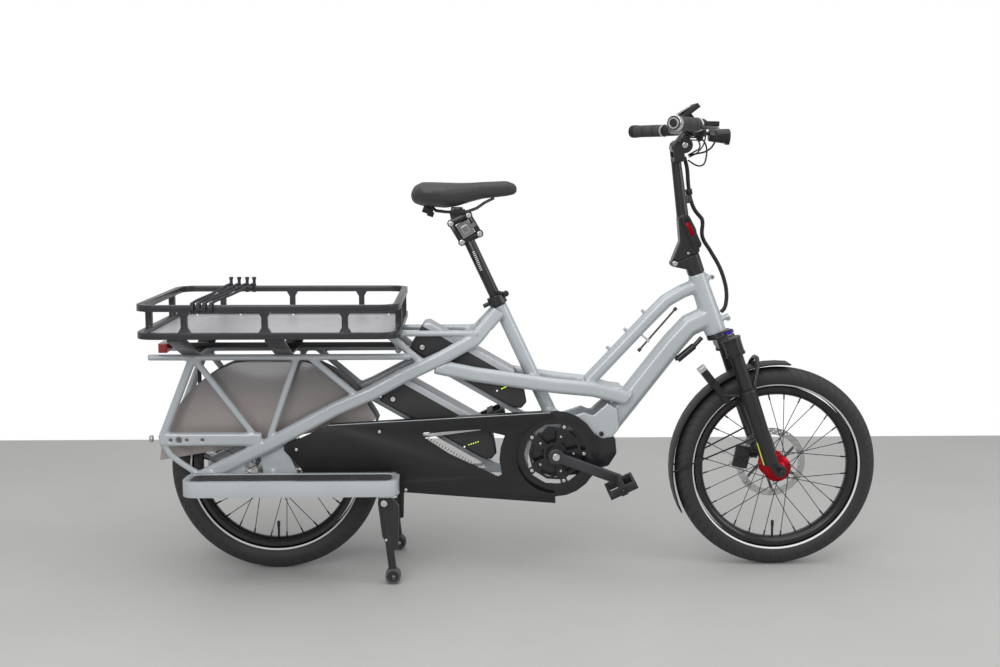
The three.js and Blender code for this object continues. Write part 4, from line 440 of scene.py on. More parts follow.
looks = {
    makeFramePaint: {"framePaint": (framePaint,)}, makeCoated: coatedLooks, makeMoulded: mouldedLooks,
    makeMetal: metalLooks, makePlate: {"floorPlate": (plateLook,)}, makeGlow: glowLooks,
    makeSaddleCover: {"saddleCover": (saddleLook,)}, makeSmoked: {"smokedPanel": (smokedLook,)},
    makeWeave: {"wovenCord": (weaveLook,)}, makeGrip: {"gripRubber": (gripLook,)}, makeDisc: discLooks,
    makeTyre: {"rearTyre": (rearAxle, tyreLook), "frontTyre": (frontAxle, tyreLook)},
    makePost: {"seatPostBlack": (postLook,)},
    makeBattery: {"batteryUpper": (spot(336, 0, 571), batteryLook),
                  "batteryLower": (spot(261, 0, 441.1), batteryLook)},
}
finishes = {name: make(name, *look) for make, rows in looks.items() for name, look in rows.items()}
print("finishes made:", len(finishes))


# Working with objects, as by hand
def lone(piece):
    if bpy.context.object and bpy.context.object.mode != "OBJECT":
        bpy.ops.object.mode_set(mode="OBJECT")
    bpy.ops.object.select_all(action="DESELECT")
    piece.select_set(True)
    bpy.context.view_layer.objects.active = piece


def edit(piece, select="SELECT"):
    lone(piece)
    bpy.ops.object.mode_set(mode="EDIT")
    bpy.ops.mesh.select_all(action=select)


def done():
    bpy.ops.object.mode_set(mode="OBJECT")


def settle(piece):  # the object's place goes into its mesh
    lone(piece)
    bpy.ops.object.transform_apply(location=True, rotation=True, scale=True)
    return piece


def added(name, kind, **settings):  # one of Blender's plain shapes
    bpy.ops.object.select_all(action="DESELECT")
    getattr(bpy.ops.mesh, f"primitive_{kind}_add")(**settings)
    piece = settle(bpy.context.object)
    piece.name = name
    return piece


def modify(piece, kind, **settings):
    lone(piece)
    modifier = piece.modifiers.new(kind.title(), kind)
    for key, value in settings.items():
        setattr(modifier, key, value)
    bpy.ops.object.modifier_apply(modifier=modifier.name)


def smoothShade(piece, angle=40):
    lone(piece)
    bpy.ops.object.shade_smooth_by_angle(angle=math.radians(angle))
    return piece


def joined(pieces, name):
    lone(pieces[0])
    for piece in pieces:
        piece.select_set(True)
    if len(pieces) > 1:
        bpy.ops.object.join()
    result = bpy.context.object
    result.name = name
    result.data.name = name
    return result


def mergedCopy(node, name):  # a CAD node's own shape, with its loose triangles merged
    piece = bpy.data.objects.new(name, cadNodes[node].data.copy())
    bpy.context.scene.collection.objects.link(piece)
    edit(piece)
    bpy.ops.mesh.remove_doubles(threshold=0.00001)
    bpy.ops.mesh.dissolve_limited(angle_limit=math.radians(1))
    done()
    return piece


def mount(piece, body, finish, *nodes, slot=None):
    piece.data.materials.clear()
    piece.data.materials.append(finishes[finish])
    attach(piece, body)
    if nodes:
        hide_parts(*nodes)


# Cords: the stretched cord on the tray, the two bundled hose runs, and the cables behind the handlebar
cordRoutes = {
    "trayCord": {"body": "frame", "node": "bungee", "finish": "wovenCord", "width": 7.0, "length": 2.113,
                 "lay": "taut", "stiffness": "limp", "points": (
        (-149.5, -248.8, 692.0), (-149.5, -248.8, 700.5), (-149.6, -243.0, 705.6), (-149.7, 0, 705.8),
        (-149.8, 243.0, 705.6), (-149.2, 248.8, 700.5), (-147.5, 248.8, 694.0), (-139.0, 248.8, 691.5),
        (-130.6, 248.8, 694.0), (-128.5, 248.8, 700.5), (-128.6, 243.0, 705.6), (-132.0, 0, 705.8),
        (-135.6, -243.0, 705.6), (-135.6, -248.8, 700.5), (-134.2, -248.8, 694.8), (-128.8, -248.8, 692.6),
        (-123.4, -248.8, 694.8), (-122.0, -248.8, 700.5), (-121.8, -243.0, 705.6), (-114.5, 0, 705.8),
        (-107.2, 243.0, 705.6), (-106.6, 248.8, 700.5), (-104.6, 248.8, 694.0), (-97.6, 248.8, 691.6),
        (-90.6, 248.8, 694.0), (-88.6, 248.8, 700.5), (-88.7, 243.0, 705.6), (-97.0, 0, 705.8),
        (-105.6, -243.0, 705.6), (-105.9, -248.8, 700.5), (-105.9, -248.8, 692.0))},
    "upperHose": {"body": "folding_mast", "node": "hose_upper", "finish": "cableRubber", "width": 10.1,
                  "length": 0.158, "lay": "hanging", "stiffness": "medium", "points": (
        (1027.5, 14, 1045.1), (1035.1, 14, 1015.9), (1038.6, 14, 980), (1041.4, 14, 960.2),
        (1046.9, 14, 935.7), (1056.7, 14, 912.9), (1070.7, 14, 895.7))},
    "lowerHose": {"body": "frame", "node": "hose_lower", "finish": "cableRubber", "width": 10.1,
                  "length": 0.262, "lay": "hanging", "stiffness": "medium", "points": (
        (1071, 14, 895.3), (1075.6, 14, 889.3), (1077.7, 14, 845.4), (1098.4, 14, 810.2),
        (1121.4, 14, 771.7), (1135.2, 11, 735.2), (1140.6, 8, 707.4), (1140, 5, 681.8),
        (1135.2, 2, 665.3), (1126.8, 0, 656))},
    "brakeCableRight": {"width": 4.4, "length": 0.211, "points": (
        (1062, -176, 1112), (1074, -150, 1100), (1078, -100, 1074), (1070, -50, 1058), (1052, -8, 1052),
        (1037, 10, 1049))},
    "brakeCableLeft": {"width": 4.4, "length": 0.217, "points": (
        (1062, 205, 1116), (1078, 180, 1104), (1084, 120, 1082), (1074, 66, 1066), (1056, 30, 1058),
        (1040, 18, 1050))},
    "shiftCable": {"width": 4.0, "length": 0.2, "points": (
        (1036, -172, 1086), (1052, -140, 1070), (1062, -90, 1040), (1062, -46, 1024), (1052, -16, 1024),
        (1036, 4, 1036))},
    "displayCable": {"width": 3.4, "length": 0.122, "points": (
        (1052, -24, 1136), (1068, -26, 1112), (1070, -26, 1082), (1056, -14, 1056), (1038, 6, 1044))},
}
cableUsual = {"body": "cockpit", "node": None, "finish": "cableRubber", "lay": "loose", "stiffness": "medium"}


def makeCord(name, v):
    bpy.ops.object.select_all(action="DESELECT")
    bpy.ops.curve.primitive_bezier_curve_add()
    piece = bpy.context.object
    piece.name = name
    spline = piece.data.splines[0]
    points = [spot(*p) for p in v["points"]]
    spline.bezier_points.add(len(points) - len(spline.bezier_points))
    for handle, place in zip(spline.bezier_points, points):
        handle.co = place
        handle.handle_left_type = handle.handle_right_type = "AUTO"
    piece.data.bevel_depth = v["width"] / 2000
    piece.data.bevel_resolution = 4
    piece.data.resolution_u = 10
    piece.data.use_fill_caps = True
    print(name, "length", round(spline.calc_length(), 4))
    mount(settle(piece), v["body"], v["finish"], *([v["node"]] if v["node"] else []))
    v["width"] / 1000


for cordName, route in cordRoutes.items():
    makeCord(cordName, cableUsual | route)
print("cords done")


# Cast and welded pieces: the node's shape is cast again in fine voxels and its welds are eased
castPieces = {  # node: (finish, voxel in mm, smoothing rounds, share of faces kept)
    "main_frame": ("framePaint", 2.3, 16, 0.5),
    "side_frame_right": ("framePaint", 2.0, 12, 0.45),
    "side_frame_left": ("framePaint", 2.0, 12, 0.4),
    "fork_crown": ("forkBlack", 1.5, 7, 0.4),
    "fork_lowers": ("forkBlack", 1.5, 8, 0.4),
    "mast_base": ("satinBlack", 1.1, 6, 0.4),
    "mast": ("satinBlack", 1.2, 7, 0.4),
    "stem": ("satinBlack", 1.2, 6, 0.4),
    "seat_head": ("satinBlack", 1.1, 5, 0.4),
    "seat_clamp": ("satinBlack", 1.1, 5, 0.4),
    "crankset": ("crankGrey", 1.4, 7, 0.4),
    "motor": ("satinBlack", 1.9, 9, 0.35),
    "ring_lock": ("blackPlastic", 1.3, 7, 0.4),
    "brake_perch_right": ("blackPlastic", 1.0, 5, 0.4),
    "brake_perch_left": ("blackPlastic", 1.0, 5, 0.4),
    "steering_damper": ("satinBlack", 1.0, 6, 0.4),
    "stand_legs": ("satinBlack", 1.7, 6, 0.35),
    "battery_upper": ("batteryUpper", 1.8, 9, 0.35),
    "battery_lower": ("batteryLower", 1.8, 9, 0.35),
    "rear_lamp": ("redLens", 0.9, 8, 0.4),
}
lastRounds = 6  # smoothing after the faces are thinned out


def cast(node, finish, voxel, rounds, keep):
    piece = mergedCopy(node, node + "Shape")
    modify(piece, "REMESH", mode="VOXEL", voxel_size=voxel / 1000)
    modify(piece, "SMOOTH", factor=0.5, iterations=rounds)
    modify(piece, "DECIMATE", ratio=keep)
    modify(piece, "SMOOTH", factor=0.5, iterations=lastRounds)
    mount(smoothShade(piece, 60), bodyOfNode[node], finish, node)


for castNode, values in castPieces.items():
    cast(castNode, *values)
print("cast pieces done:", len(castPieces))


# Cut and machined pieces: sharp edges get a small round
machinedPieces = {  # node: (finish, round in mm)
    "foot_deck_right": ("framePaint", 4.0), "foot_deck_left": ("framePaint", 4.0),
    "tray_floor": ("floorPlate", 0.8), "tray_frame": ("trayBlack", 1.6), "rear_fender": ("blackPlastic", 0.8),
    "wheel_guards": ("smokedPanel", 0.6), "chain_case": ("casePlastic", 0.7),
    "chainring": ("glossBlack", 0.4), "rear_sprocket": ("steel", 0.3), "chain": ("steel", 0.3),
    "seat_lever": ("satinBlack", 0.8), "seatpost": ("seatPostBlack", 0.5),
    "seat_link_front": ("satinBlack", 0.8), "seat_link_rear": ("satinBlack", 0.8),
    "pedal_right": ("blackPlastic", 1.0), "pedal_left": ("blackPlastic", 1.0),
    "front_fender": ("blackPlastic", 0.8), "latch_lever": ("satinBlack", 1.0),
    "latch_slider": ("redAnodised", 1.2), "handlebar": ("satinBlack", 0.6), "display": ("blackPlastic", 2.0),
    "headlight": ("glossBlack", 1.5), "brake_lever_right": ("satinBlack", 1.4),
    "brake_lever_left": ("satinBlack", 1.4), "shifter_paddles": ("blackPlastic", 0.8),
    "grip_right": ("gripRubber", 0.8), "grip_left": ("gripRubber", 0.8),
}
roundedFrom = 46  # degrees between two faces


def machined(node, finish, width):
    piece = mergedCopy(node, node + "Shape")
    modify(piece, "BEVEL", width=width / 1000, segments=2, limit_method="ANGLE",
           angle_limit=math.radians(roundedFrom), use_clamp_overlap=True)
    mount(smoothShade(piece, 50), bodyOfNode[node], finish, node)


for machinedNode, values in machinedPieces.items():
    machined(machinedNode, *values)
print("machined pieces done:", len(machinedPieces))


# Turned pieces: a section of (radius, y) points in mm, spun about the wheel's axle
def turned(name, section, centre, steps):
    piece = added(name, "circle", vertices=len(section), radius=0.01, fill_type="NOTHING")
    for vertex, (radius, y) in zip(piece.data.vertices, section):
        vertex.co = centre + Vector((radius / 1000, y / 1000, 0))
    edit(piece)
    bpy.ops.mesh.spin(steps=steps, angle=2 * math.pi, center=centre, axis=(0, 1, 0))
    bpy.ops.mesh.select_all(action="SELECT")
    bpy.ops.mesh.remove_doubles(threshold=0.00002)
    bpy.ops.mesh.normals_make_consistent(inside=False)
    done()
    return smoothShade(piece, 35)


def mirrored(half):  # a section's other half, in the order that goes on from this one
    return [(radius, -y) for radius, y in reversed(half)]


def around(centre, radius, angle, y):  # a point at a radius and a height across the bike, in mm
    return centre + Vector((math.cos(angle) * radius, y, math.sin(angle) * radius)) / 1000


def rodBetween(start, end, radius, sides):
    line = end - start
    return added("rod", "cylinder", vertices=sides, radius=radius / 1000, depth=line.length,
                 location=(start + end) / 2, rotation=line.to_track_quat("Z", "Y").to_euler())


flangeY = 30
rearWheel = {"name": "rear", "body": "rear_wheel", "centre": rearAxle, "radius": 265, "width": 61,
             "hubHalf": 63, "driverFrom": -48, "ring": (63, 80), "discY": 44.2, "discNodes": ()}
frontWheel = {"name": "front", "body": "front_wheel", "centre": frontAxle, "radius": 258, "width": 54.4,
              "hubHalf": 46, "driverFrom": -44, "ring": (72.5, 90), "discY": 38.2,
              "discNodes": ("front_rotor",)}
wheelShape = {"beadRadius": 207, "beadRise": 6, "beadEase": 0.35, "beadHalf": 15.5, "wall": 4, "sweep": 138,
              "steps": 32, "rimInner": 186, "rimHalf": 17, "spokes": 28, "spokeRadius": 1.05, "lean": 52,
              "rootRadius": 33.5, "flangeY": flangeY, "cross": 3.4, "tipY": 3, "nippleRadius": 2.1,
              "nippleLength": 13, "valve": ((0, 34, 3.0), (26, 40, 3.9))}
hubShape = {"flange": 35, "flangeY": flangeY, "barrel": 21, "driver": 16, "bore": 6.6}
discShape = {"thick": 1.8, "boss": (16.4, 27), "arms": 6, "sweep": 34, "armWidth": 7, "root": 25}


def tyreSection(w, v):
    half = w["width"] / 2
    middle = w["radius"] - half
    rise = v["beadRadius"] + v["beadRise"]
    outer = []
    for i in range(v["steps"] + 1):
        a = math.radians(v["sweep"] * (2 * i / v["steps"] - 1))
        radius, y = middle + half * math.cos(a), half * math.sin(a)
        if radius < rise:
            y = math.copysign(max(abs(y) - (rise - radius) * v["beadEase"], v["beadHalf"]), y)
        outer.append((max(radius, v["beadRadius"] + 0.5), y))
    turns = [math.radians(a) for a in range(120, -121, -24)]
    inside = half - v["wall"]
    return outer + [(middle + inside * math.cos(a), inside * math.sin(a)) for a in turns]


def rimSection(v):
    b, i, h = v["beadRadius"], v["rimInner"], v["rimHalf"]
    half = [(b - 7, h * 0.45), (b - 5, h - 3), (b, h - 2), (b, h), (b - 10, h + 0.2), (i + 4, h * 0.72),
            (i + 0.6, h * 0.4)]
    return half + [(i, 0)] + mirrored(half)


def hubSection(w, v):
    flange, f, barrel, driver = v["flange"], v["flangeY"], v["barrel"], v["driver"]
    bell = [(barrel - 1.5, f - 9), (barrel + 1, f - 4), (flange - 1, f - 1.6), (flange, f - 0.8),
            (flange, f + 0.8), (flange - 1, f + 1.6)]
    cap = [(driver, w["hubHalf"] - 1), (driver - 1, w["hubHalf"]), (v["bore"], w["hubHalf"])]
    freewheel = [(driver, w["driverFrom"]), (barrel, w["driverFrom"] + 3), (barrel, -f - 6)]
    return mirrored(cap) + freewheel + mirrored(bell) + bell + [(driver, f + 6)] + cap


def lacing(w, v):  # spokes lean forwards and back in turn, from two flanges, each with its nipple
    rods = []
    for n in range(v["spokes"]):
        side = 1 if n % 2 == 0 else -1
        trail = 1 if (n // 2) % 2 == 0 else -1
        turn = math.radians((n + 0.5) * 360 / v["spokes"])
        root = around(w["centre"], v["rootRadius"], turn + math.radians(trail * v["lean"]),
                      side * (v["flangeY"] + trail * v["cross"]))
        tip = around(w["centre"], v["rimInner"], turn, side * v["tipY"])
        along = (tip - root).normalized() / 1000
        rods.append(rodBetween(root, tip, v["spokeRadius"], 6))
        rods.append(rodBetween(tip - along * v["nippleLength"], tip + along, v["nippleRadius"], 6))
    return rods


def wheel(w, v):
    name = w["name"]
    tyre = turned(name + "Tyre", tyreSection(w, v), w["centre"], 128)
    mount(tyre, w["body"], name + "Tyre", name + "_tyre")
    rim = turned(name + "Rim", rimSection(v), w["centre"], 128)
    mount(rim, w["body"], "glossBlack", name + "_rim")
    spokes = smoothShade(joined(lacing(w, v), name + "Spokes"), 60)
    mount(spokes, w["body"], "satinBlack", name + "_spokes")
    stem = w["centre"] - Vector((0, 0, v["rimInner"] / 1000))
    rods = [rodBetween(stem + Vector((0, 0, low / 1000)), stem + Vector((0, 0, high / 1000)), radius, 12)
            for low, high, radius in v["valve"]]
    mount(smoothShade(joined(rods, name + "Valve"), 50), w["body"], "cableRubber", slot="black_plastic")


def hub(w, v):  # flanges, barrel and end caps, with rounded edges
    piece = turned(w["name"] + "Hub", hubSection(w, v), w["centre"], 64)
    mount(piece, w["body"], "redAnodised", w["name"] + "_hub")


def disc(w, v):  # braking ring on swept arms
    centre, y, thick = w["centre"], w["discY"], v["thick"]
    parts = []
    for (inner, outer), steps in ((w["ring"], 96), (v["boss"], 48)):
        section = [(inner, y), (outer, y), (outer, y + thick), (inner, y + thick)]
        parts.append(turned("ring", section, centre, steps))
    for n in range(v["arms"]):
        a = math.tau * n / v["arms"]
        root = around(centre, v["root"], a, y + thick / 2)
        tip = around(centre, w["ring"][0] + 1.5, a + math.radians(v["sweep"]), y + thick / 2)
        line, across = tip - root, Vector((0, 1, 0))
        turn = Matrix((line.normalized().cross(across), across, line.normalized())).transposed().to_4x4()
        size = Matrix.Diagonal((v["armWidth"] / 1000, (thick - 0.2) / 1000, line.length, 1))
        arm = added("arm", "cube", size=1)
        arm.matrix_world = Matrix.Translation((root + tip) / 2) @ turn @ size
        parts.append(settle(arm))
    piece = smoothShade(joined(parts, w["name"] + "Disc"), 35)
    mount(piece, w["body"], w["name"] + "DiscSteel", *w["discNodes"])


for make, shape in ((wheel, wheelShape), (hub, hubShape), (disc, discShape)):
    for w in (rearWheel, frontWheel):
        make(w, shape)
print("wheels done")


# Saddle: the node's form is cast and relaxed
saddleShape = {"voxel": 0.003, "rounds": 14, "fill": 0.8}


def saddle(v):
    piece = mergedCopy("saddle", "saddleCushion")
    modify(piece, "REMESH", mode="VOXEL", voxel_size=v["voxel"])
    modify(piece, "SMOOTH", factor=0.5, iterations=v["rounds"])
    mount(smoothShade(piece, 60), "seat_top", "saddleCover", "saddle")


saddle(saddleShape)
print("saddle done")


# Small fittings are modelled once, copied, and joined by body and finish
def topFaces(piece):  # selects the highest faces that look up
    edit(piece, "DESELECT")
    done()
    high = max(v.co.z for v in piece.data.vertices)
    for polygon in piece.data.polygons:
        polygon.select = polygon.normal.z > 0.9 and polygon.center.z > high - 0.001
    bpy.ops.object.mode_set(mode="EDIT")


def makeScrew():  # a domed head, one unit wide and high, with a socket
    screw = added("screwForm", "cylinder", vertices=18, radius=0.5, depth=1, location=(0, 0, 0.5))
    topFaces(screw)
    bpy.ops.mesh.bevel(offset=0.16, segments=3, affect="EDGES")
    done()
    topFaces(screw)
    bpy.ops.mesh.inset(thickness=0.12)
    bpy.ops.mesh.extrude_region_move(TRANSFORM_OT_translate={"value": (0, 0, -0.5)})
    done()
    return screw


def makePin():  # a plain rod, one unit wide and long
    return added("pinForm", "cylinder", vertices=20, radius=0.5, depth=1, location=(0, 0, 0.5))


def makeCollar():  # a ring, one unit wide and long, with a round edge
    collar = added("collarForm", "cylinder", vertices=32, radius=0.5, depth=1, location=(0, 0, 0.5),
                   end_fill_type="NOTHING")
    modify(collar, "SOLIDIFY", thickness=0.12, offset=-1)
    modify(collar, "BEVEL", width=0.03, segments=2, limit_method="ANGLE", angle_limit=1.0)
    return collar


def makeBlock():  # a box round its middle, one unit each way, with round edges
    block = added("blockForm", "cube", size=1)
    modify(block, "BEVEL", width=0.06, segments=3, limit_method="ANGLE", angle_limit=1.0)
    return block


forms = makeScrew(), makePin(), makeCollar(), makeBlock()
screw, pin, collar, block = forms
fittings = {}  # (body, finish): pieces
surfaces = {}  # node: its faces, to cast rays at


def towards(direction):  # Z along the direction, X across the bike, or along it when the direction is across
    along = Vector(direction).normalized()
    across = Vector((1, 0, 0)) if abs(along.y) > 0.9 else Vector((0, 1, 0))
    across = (across - along * across.dot(along)).normalized()
    return Matrix((across, along.cross(across), along)).transposed().to_4x4()


def copyOf(form, place, axis, size, body, finish):  # size in mm: width and height, or width, depth and height
    piece = form.copy()
    piece.data = form.data.copy()
    bpy.context.scene.collection.objects.link(piece)
    scale = Matrix.Diagonal((size[0] / 1000, size[-2] / 1000, size[-1] / 1000, 1))
    piece.matrix_world = Matrix.Translation(place) @ towards(axis) @ scale
    fittings.setdefault((body, finish), []).append(settle(piece))


def placeRows(rows):
    for form, place, axis, size, body, finish in rows:
        copyOf(form, spot(*place), axis, size, body, finish)


def surfaceOf(node):
    if node not in surfaces:
        mesh, place = cadNodes[node].data, cadNodes[node].matrix_world
        points = [place @ v.co for v in mesh.vertices]
        surfaces[node] = BVHTree.FromPolygons(points, [tuple(p.vertices) for p in mesh.polygons])
    return surfaces[node]


def faceAt(node, x, z, side):  # the outermost point of a node's side, over that place in the side view
    hit = surfaceOf(node).ray_cast(spot(x, side * 450, z), Vector((0, -side, 0)))[0]
    if hit is None:
        print("no face of", node, "at", x, z)
        return spot(x, 0, z)
    return hit


def sideScrew(node, x, z, size, finish="bolt", side=-1, form=screw):  # its foot is sunk by 0.4 mm
    place = faceAt(node, x, z, side) - Vector((0, side * 0.0004, 0))
    copyOf(form, place, (0, side, 0), size, bodyOfNode[node], finish)


def strut(start, end, width, body, finish):
    line = end - start
    copyOf(pin, start, line, (width, line.length * 1000), body, finish)


# Frame: screw bosses, the rod under the top tube, cable eyes, motor bolts, bar nuts and a ribbed strip
frameFittings = {
    "bosses": ((831.9, 573.6), (875.8, 619.5), (919.4, 666.5)), "bossLean": (-0.728, 0, 0.686),
    "above": 0.03, "bossSink": 0.001, "bossSize": (9, 8), "screwAt": 0.0078, "bossScrew": (6.5, 3),
    "rodStart": (919.2, -9, 560.6), "rodEnd": (1008.3, -9, 664.4), "rodWidth": 5, "knobSink": 0.004,
    "rodKnob": (9, 9), "clipAt": 0.24, "clipArm": (-0.016, 0.006, 0.014), "clipSize": (9, 8),
    "eyes": ((1101.5, 744.5), (1144.5, 640)), "eye": (13, 6), "eyeY": -3, "hole": (5.5, 6.4), "holeY": -3.2,
    "motorBolts": ((821.3, 353.6), (665, 352), (842, 300)),
    "motorBolt": (12, 5), "barNut": (-288.7, 93, 356), "nutSize": (17, 8), "ribPitch": 8.2,
    "ribStart": (377, 337), "ribEnd": (566, 228), "ribLine": (0.5, 0, 0.866), "ribSize": (3.2, 1.6, 7),
}


def frameDetails(v):
    lean = Vector(v["bossLean"])
    for x, z in v["bosses"]:
        top = surfaceOf("main_frame").ray_cast(spot(x, 0, z) + lean * v["above"], -lean)[0]
        place = top - lean * v["bossSink"]
        copyOf(pin, place, lean, v["bossSize"], "frame", "framePaint")
        copyOf(screw, place + lean * v["screwAt"], lean, v["bossScrew"], "frame", "bolt")
    start, end = spot(*v["rodStart"]), spot(*v["rodEnd"])
    line = (end - start).normalized()
    strut(start, end, v["rodWidth"], "frame", "satinBlack")
    for place in (start, end):
        copyOf(screw, place - line * v["knobSink"], line, v["rodKnob"], "frame", "satinBlack")
    place = start.lerp(end, v["clipAt"])
    strut(place, place + Vector(v["clipArm"]), v["rodWidth"], "frame", "framePaint")
    copyOf(collar, place - line * v["knobSink"], line, v["clipSize"], "frame", "framePaint")
    for x, z in v["eyes"]:
        copyOf(pin, spot(x, v["eyeY"], z), (0, 1, 0), v["eye"], "frame", "framePaint")
        copyOf(pin, spot(x, v["holeY"], z), (0, 1, 0), v["hole"], "frame", "satinBlack")
    for x, z in v["motorBolts"]:
        for side in (-1, 1):
            sideScrew("main_frame", x, z, v["motorBolt"], "satinBlack", side)
    x, y, z = v["barNut"]
    for side in (-1, 1):
        copyOf(screw, spot(x, side * y, z), (-1, 0, 0), v["nutSize"], "frame", "steel")
    (x0, z0), (x1, z1) = v["ribStart"], v["ribEnd"]
    count = int(math.hypot(x1 - x0, z1 - z0) / v["ribPitch"])
    for i in range(count):
        place = faceAt("main_frame", x0 + (x1 - x0) * i / count, z0 + (z1 - z0) * i / count, -1)
        copyOf(block, place, v["ribLine"], v["ribSize"], "frame", "satinBlack")


frameDetails(frameFittings)


# Chain case, crank and chainring, and a painted highlight along the case's top edge
driveFittings = {
    "caseBolts": ((266, 368), (60, 324), (690, 372), (330, 220)), "caseBolt": (8, 3),
    "paintedHighlightStart": (140, -79.6, 384.6), "paintedHighlightEnd": (690, -79.6, 414.0), "paintedHighlightWidth": 1.8,
    "ring": (704, 306), "ringBolts": ((72, (9, 3)), (46, (6, 3))), "ringArms": 5,
    "boltY": 100.2, "crankBolt": (18, 4), "collarY": 99.6, "crankCollar": (27, 3),
}


def driveDetails(v):
    for x, z in v["caseBolts"]:
        sideScrew("chain_case", x, z, v["caseBolt"])
    # painted highlight: a thin pale strip along the chain case's top edge
    strut(spot(*v["paintedHighlightStart"]), spot(*v["paintedHighlightEnd"]), v["paintedHighlightWidth"], "frame", "framePaint")
    x, z = v["ring"]
    for i in range(v["ringArms"]):
        a = math.tau * i / v["ringArms"]
        for radius, size in v["ringBolts"]:
            sideScrew("chainring", x + radius * math.cos(a), z + radius * math.sin(a), size)
    for side in (-1, 1):
        copyOf(screw, spot(x, side * v["boltY"], z), (0, side, 0), v["crankBolt"], "cranks", "bolt")
        copyOf(collar, spot(x, side * v["collarY"], z), (0, side, 0), v["crankCollar"], "cranks", "crankGrey")


driveDetails(driveFittings)


# Batteries: charge lights, a button and a lock at the rear end
batteryFittings = {  # body: first and last light, button, lock
    "battery_pack_upper": ((570.3, 468.7), (583.6, 475.0), (558.5, 463.6), (372, 574)),
    "battery_pack_lower": ((488.0, 325.7), (510.7, 333.3), (476.7, 320.6), (298, 443)),
}
batterySizes = {"lights": 5, "light": (0.9, 2.4, 3.0), "lightLine": (0.9, 0, 0.4), "button": (4.5, 0.9),
                "lock": (13, 4), "lockRing": (20, 1.4)}


def batteryDetails(body, first, last, button, lock, v):
    node = body.replace("pack_", "")
    (x0, z0), (x1, z1) = first, last
    for i in range(v["lights"]):
        share = i / (v["lights"] - 1)
        place = faceAt(node, x0 + (x1 - x0) * share, z0 + (z1 - z0) * share, -1)
        copyOf(block, place, v["lightLine"], v["light"], body, "ledGreen")
    sideScrew(node, *button, v["button"], "ledWhite", form=pin)
    sideScrew(node, *lock, v["lock"])
    sideScrew(node, *lock, v["lockRing"], "blackPlastic", form=collar)


for batteryBody, places in batteryFittings.items():
    batteryDetails(batteryBody, *places, batterySizes)


# Stand: pivot caps, plate bolts and a grey ring round each foot
standFittings = {"cap": (280, 204), "capSize": (16, 3), "bolt": (284, 112), "boltSize": (7, 2.5),
                 "foot": (300, 20), "ring": (38, 27), "legY": 140}


def standDetails(v):
    x, z = v["foot"]
    width, length = v["ring"]
    for side in (-1, 1):
        sideScrew("stand_legs", *v["cap"], v["capSize"], side=side)
        sideScrew("stand_legs", *v["bolt"], v["boltSize"], side=side)
        copyOf(collar, spot(x, side * v["legY"] - length / 2, z), (0, 1, 0), v["ring"], "stand", "standGrey")


standDetails(standFittings)


# Fork: dials and collars down each leg, axle ends, a yellow travel mark and caliper bolts
forkFittings = {
    "legTop": (1134.3, 609.9), "legDown": (0.329, 0, -0.944), "legY": 65,
    "leg": (  # form, distance down the leg in mm, size, body, finish
        (pin, -9.5, (19, 4), "steerer", "satinBlack"),
        (collar, 12.5, (49.5, 6), "steerer", "glossBlack"),
        (collar, 53, (49.5, 5), "steerer", "glossBlack"),
        (collar, 148, (41, 8), "fork_slider", "cableRubber")),
    "dial": (26, 7), "dialAt": -7.5, "axle": (1274, 86, 258), "axleEnd": (15, 4), "markWidth": 2.4,
    "markStart": (1207.7, -84.5, 336.2), "markEnd": (1227.0, -84.5, 279.0),
    "caliper": ((1142, 292), (1160, 268)), "caliperBolt": (8, 3),
}


def forkDetails(v):
    down = Vector(v["legDown"])
    (legX, legZ), (x, y, z) = v["legTop"], v["axle"]
    for side, dial, axleEnd in ((-1, "purpleAnodised", "satinBlack"), (1, "satinBlack", "bolt")):
        top = spot(legX, side * v["legY"], legZ)
        copyOf(pin, top + down * v["dialAt"] / 1000, down, v["dial"], "steerer", dial)
        for form, along, size, body, finish in v["leg"]:
            copyOf(form, top + down * along / 1000, down, size, body, finish)
        copyOf(screw, spot(x, side * y, z), (0, side, 0), v["axleEnd"], "fork_slider", axleEnd)
    # the yellow mark's finish glows with painted light
    strut(spot(*v["markStart"]), spot(*v["markEnd"]), v["markWidth"], "fork_slider", "yellowMark")
    for x, z in v["caliper"]:
        sideScrew("fork_lowers", x, z, v["caliperBolt"])


forkDetails(forkFittings)


# Stretched cord: loops round both rails and hooks that stand over the far one
loopFittings = {"near": (-149.5, -135.7, -122.0, -105.9), "far": (-149.8, -128.4, -107.0, -88.3),
                "railY": 241, "railZ": 697, "loop": (25, 8), "hook": (8.5, 24), "knob": (11, 6),
                "hookY": 244, "hookZ": 699, "knobZ": 719}


def cordLoops(v):
    for side, places in ((-1, v["near"]), (1, v["far"])):
        for x in places:
            loop = spot(x - v["loop"][1] / 2, side * v["railY"], v["railZ"])
            copyOf(collar, loop, (1, 0, 0), v["loop"], "frame", "wovenCord")
    for x in v["far"]:
        for z, size in ((v["hookZ"], v["hook"]), (v["knobZ"], v["knob"])):
            copyOf(pin, spot(x, v["hookY"], z), (0, 0, 1), size, "frame", "wovenCord")


cordLoops(loopFittings)


# Tray floor: screws along both sides
floorFittings = {"x": (-235, -120, 20, 160, 275), "y": 205, "z": 626.6, "screw": (10, 3.4)}


def floorScrews(v):
    for x in v["x"]:
        for side in (-1, 1):
            copyOf(screw, spot(x, side * v["y"], v["z"]), (0, 0, 1), v["screw"], "frame", "bolt")


floorScrews(floorFittings)


# Damper: an arm from its rear end to the down tube
damperArm = {"start": (1018, 0, 533), "end": (1004, 0, 560), "width": 9}
strut(spot(*damperArm["start"]), spot(*damperArm["end"]), damperArm["width"], "frame", "satinBlack")
print("small fittings placed")


# Deck boards: a dark ribbed pad inside each pale loop
padShape = {"x": (-184, 299), "y": (118, 178), "z": 268.1, "thick": 1.6, "corner": 14, "ribPitch": 15,
            "ribFrom": 20, "ribEnds": 14, "ribWidth": 5, "ribHeight": 1.8, "margin": 6}


def upright(edge, points):
    first, second = (points[i].co for i in edge.vertices)
    return abs(first.z - second.z) > 0.001


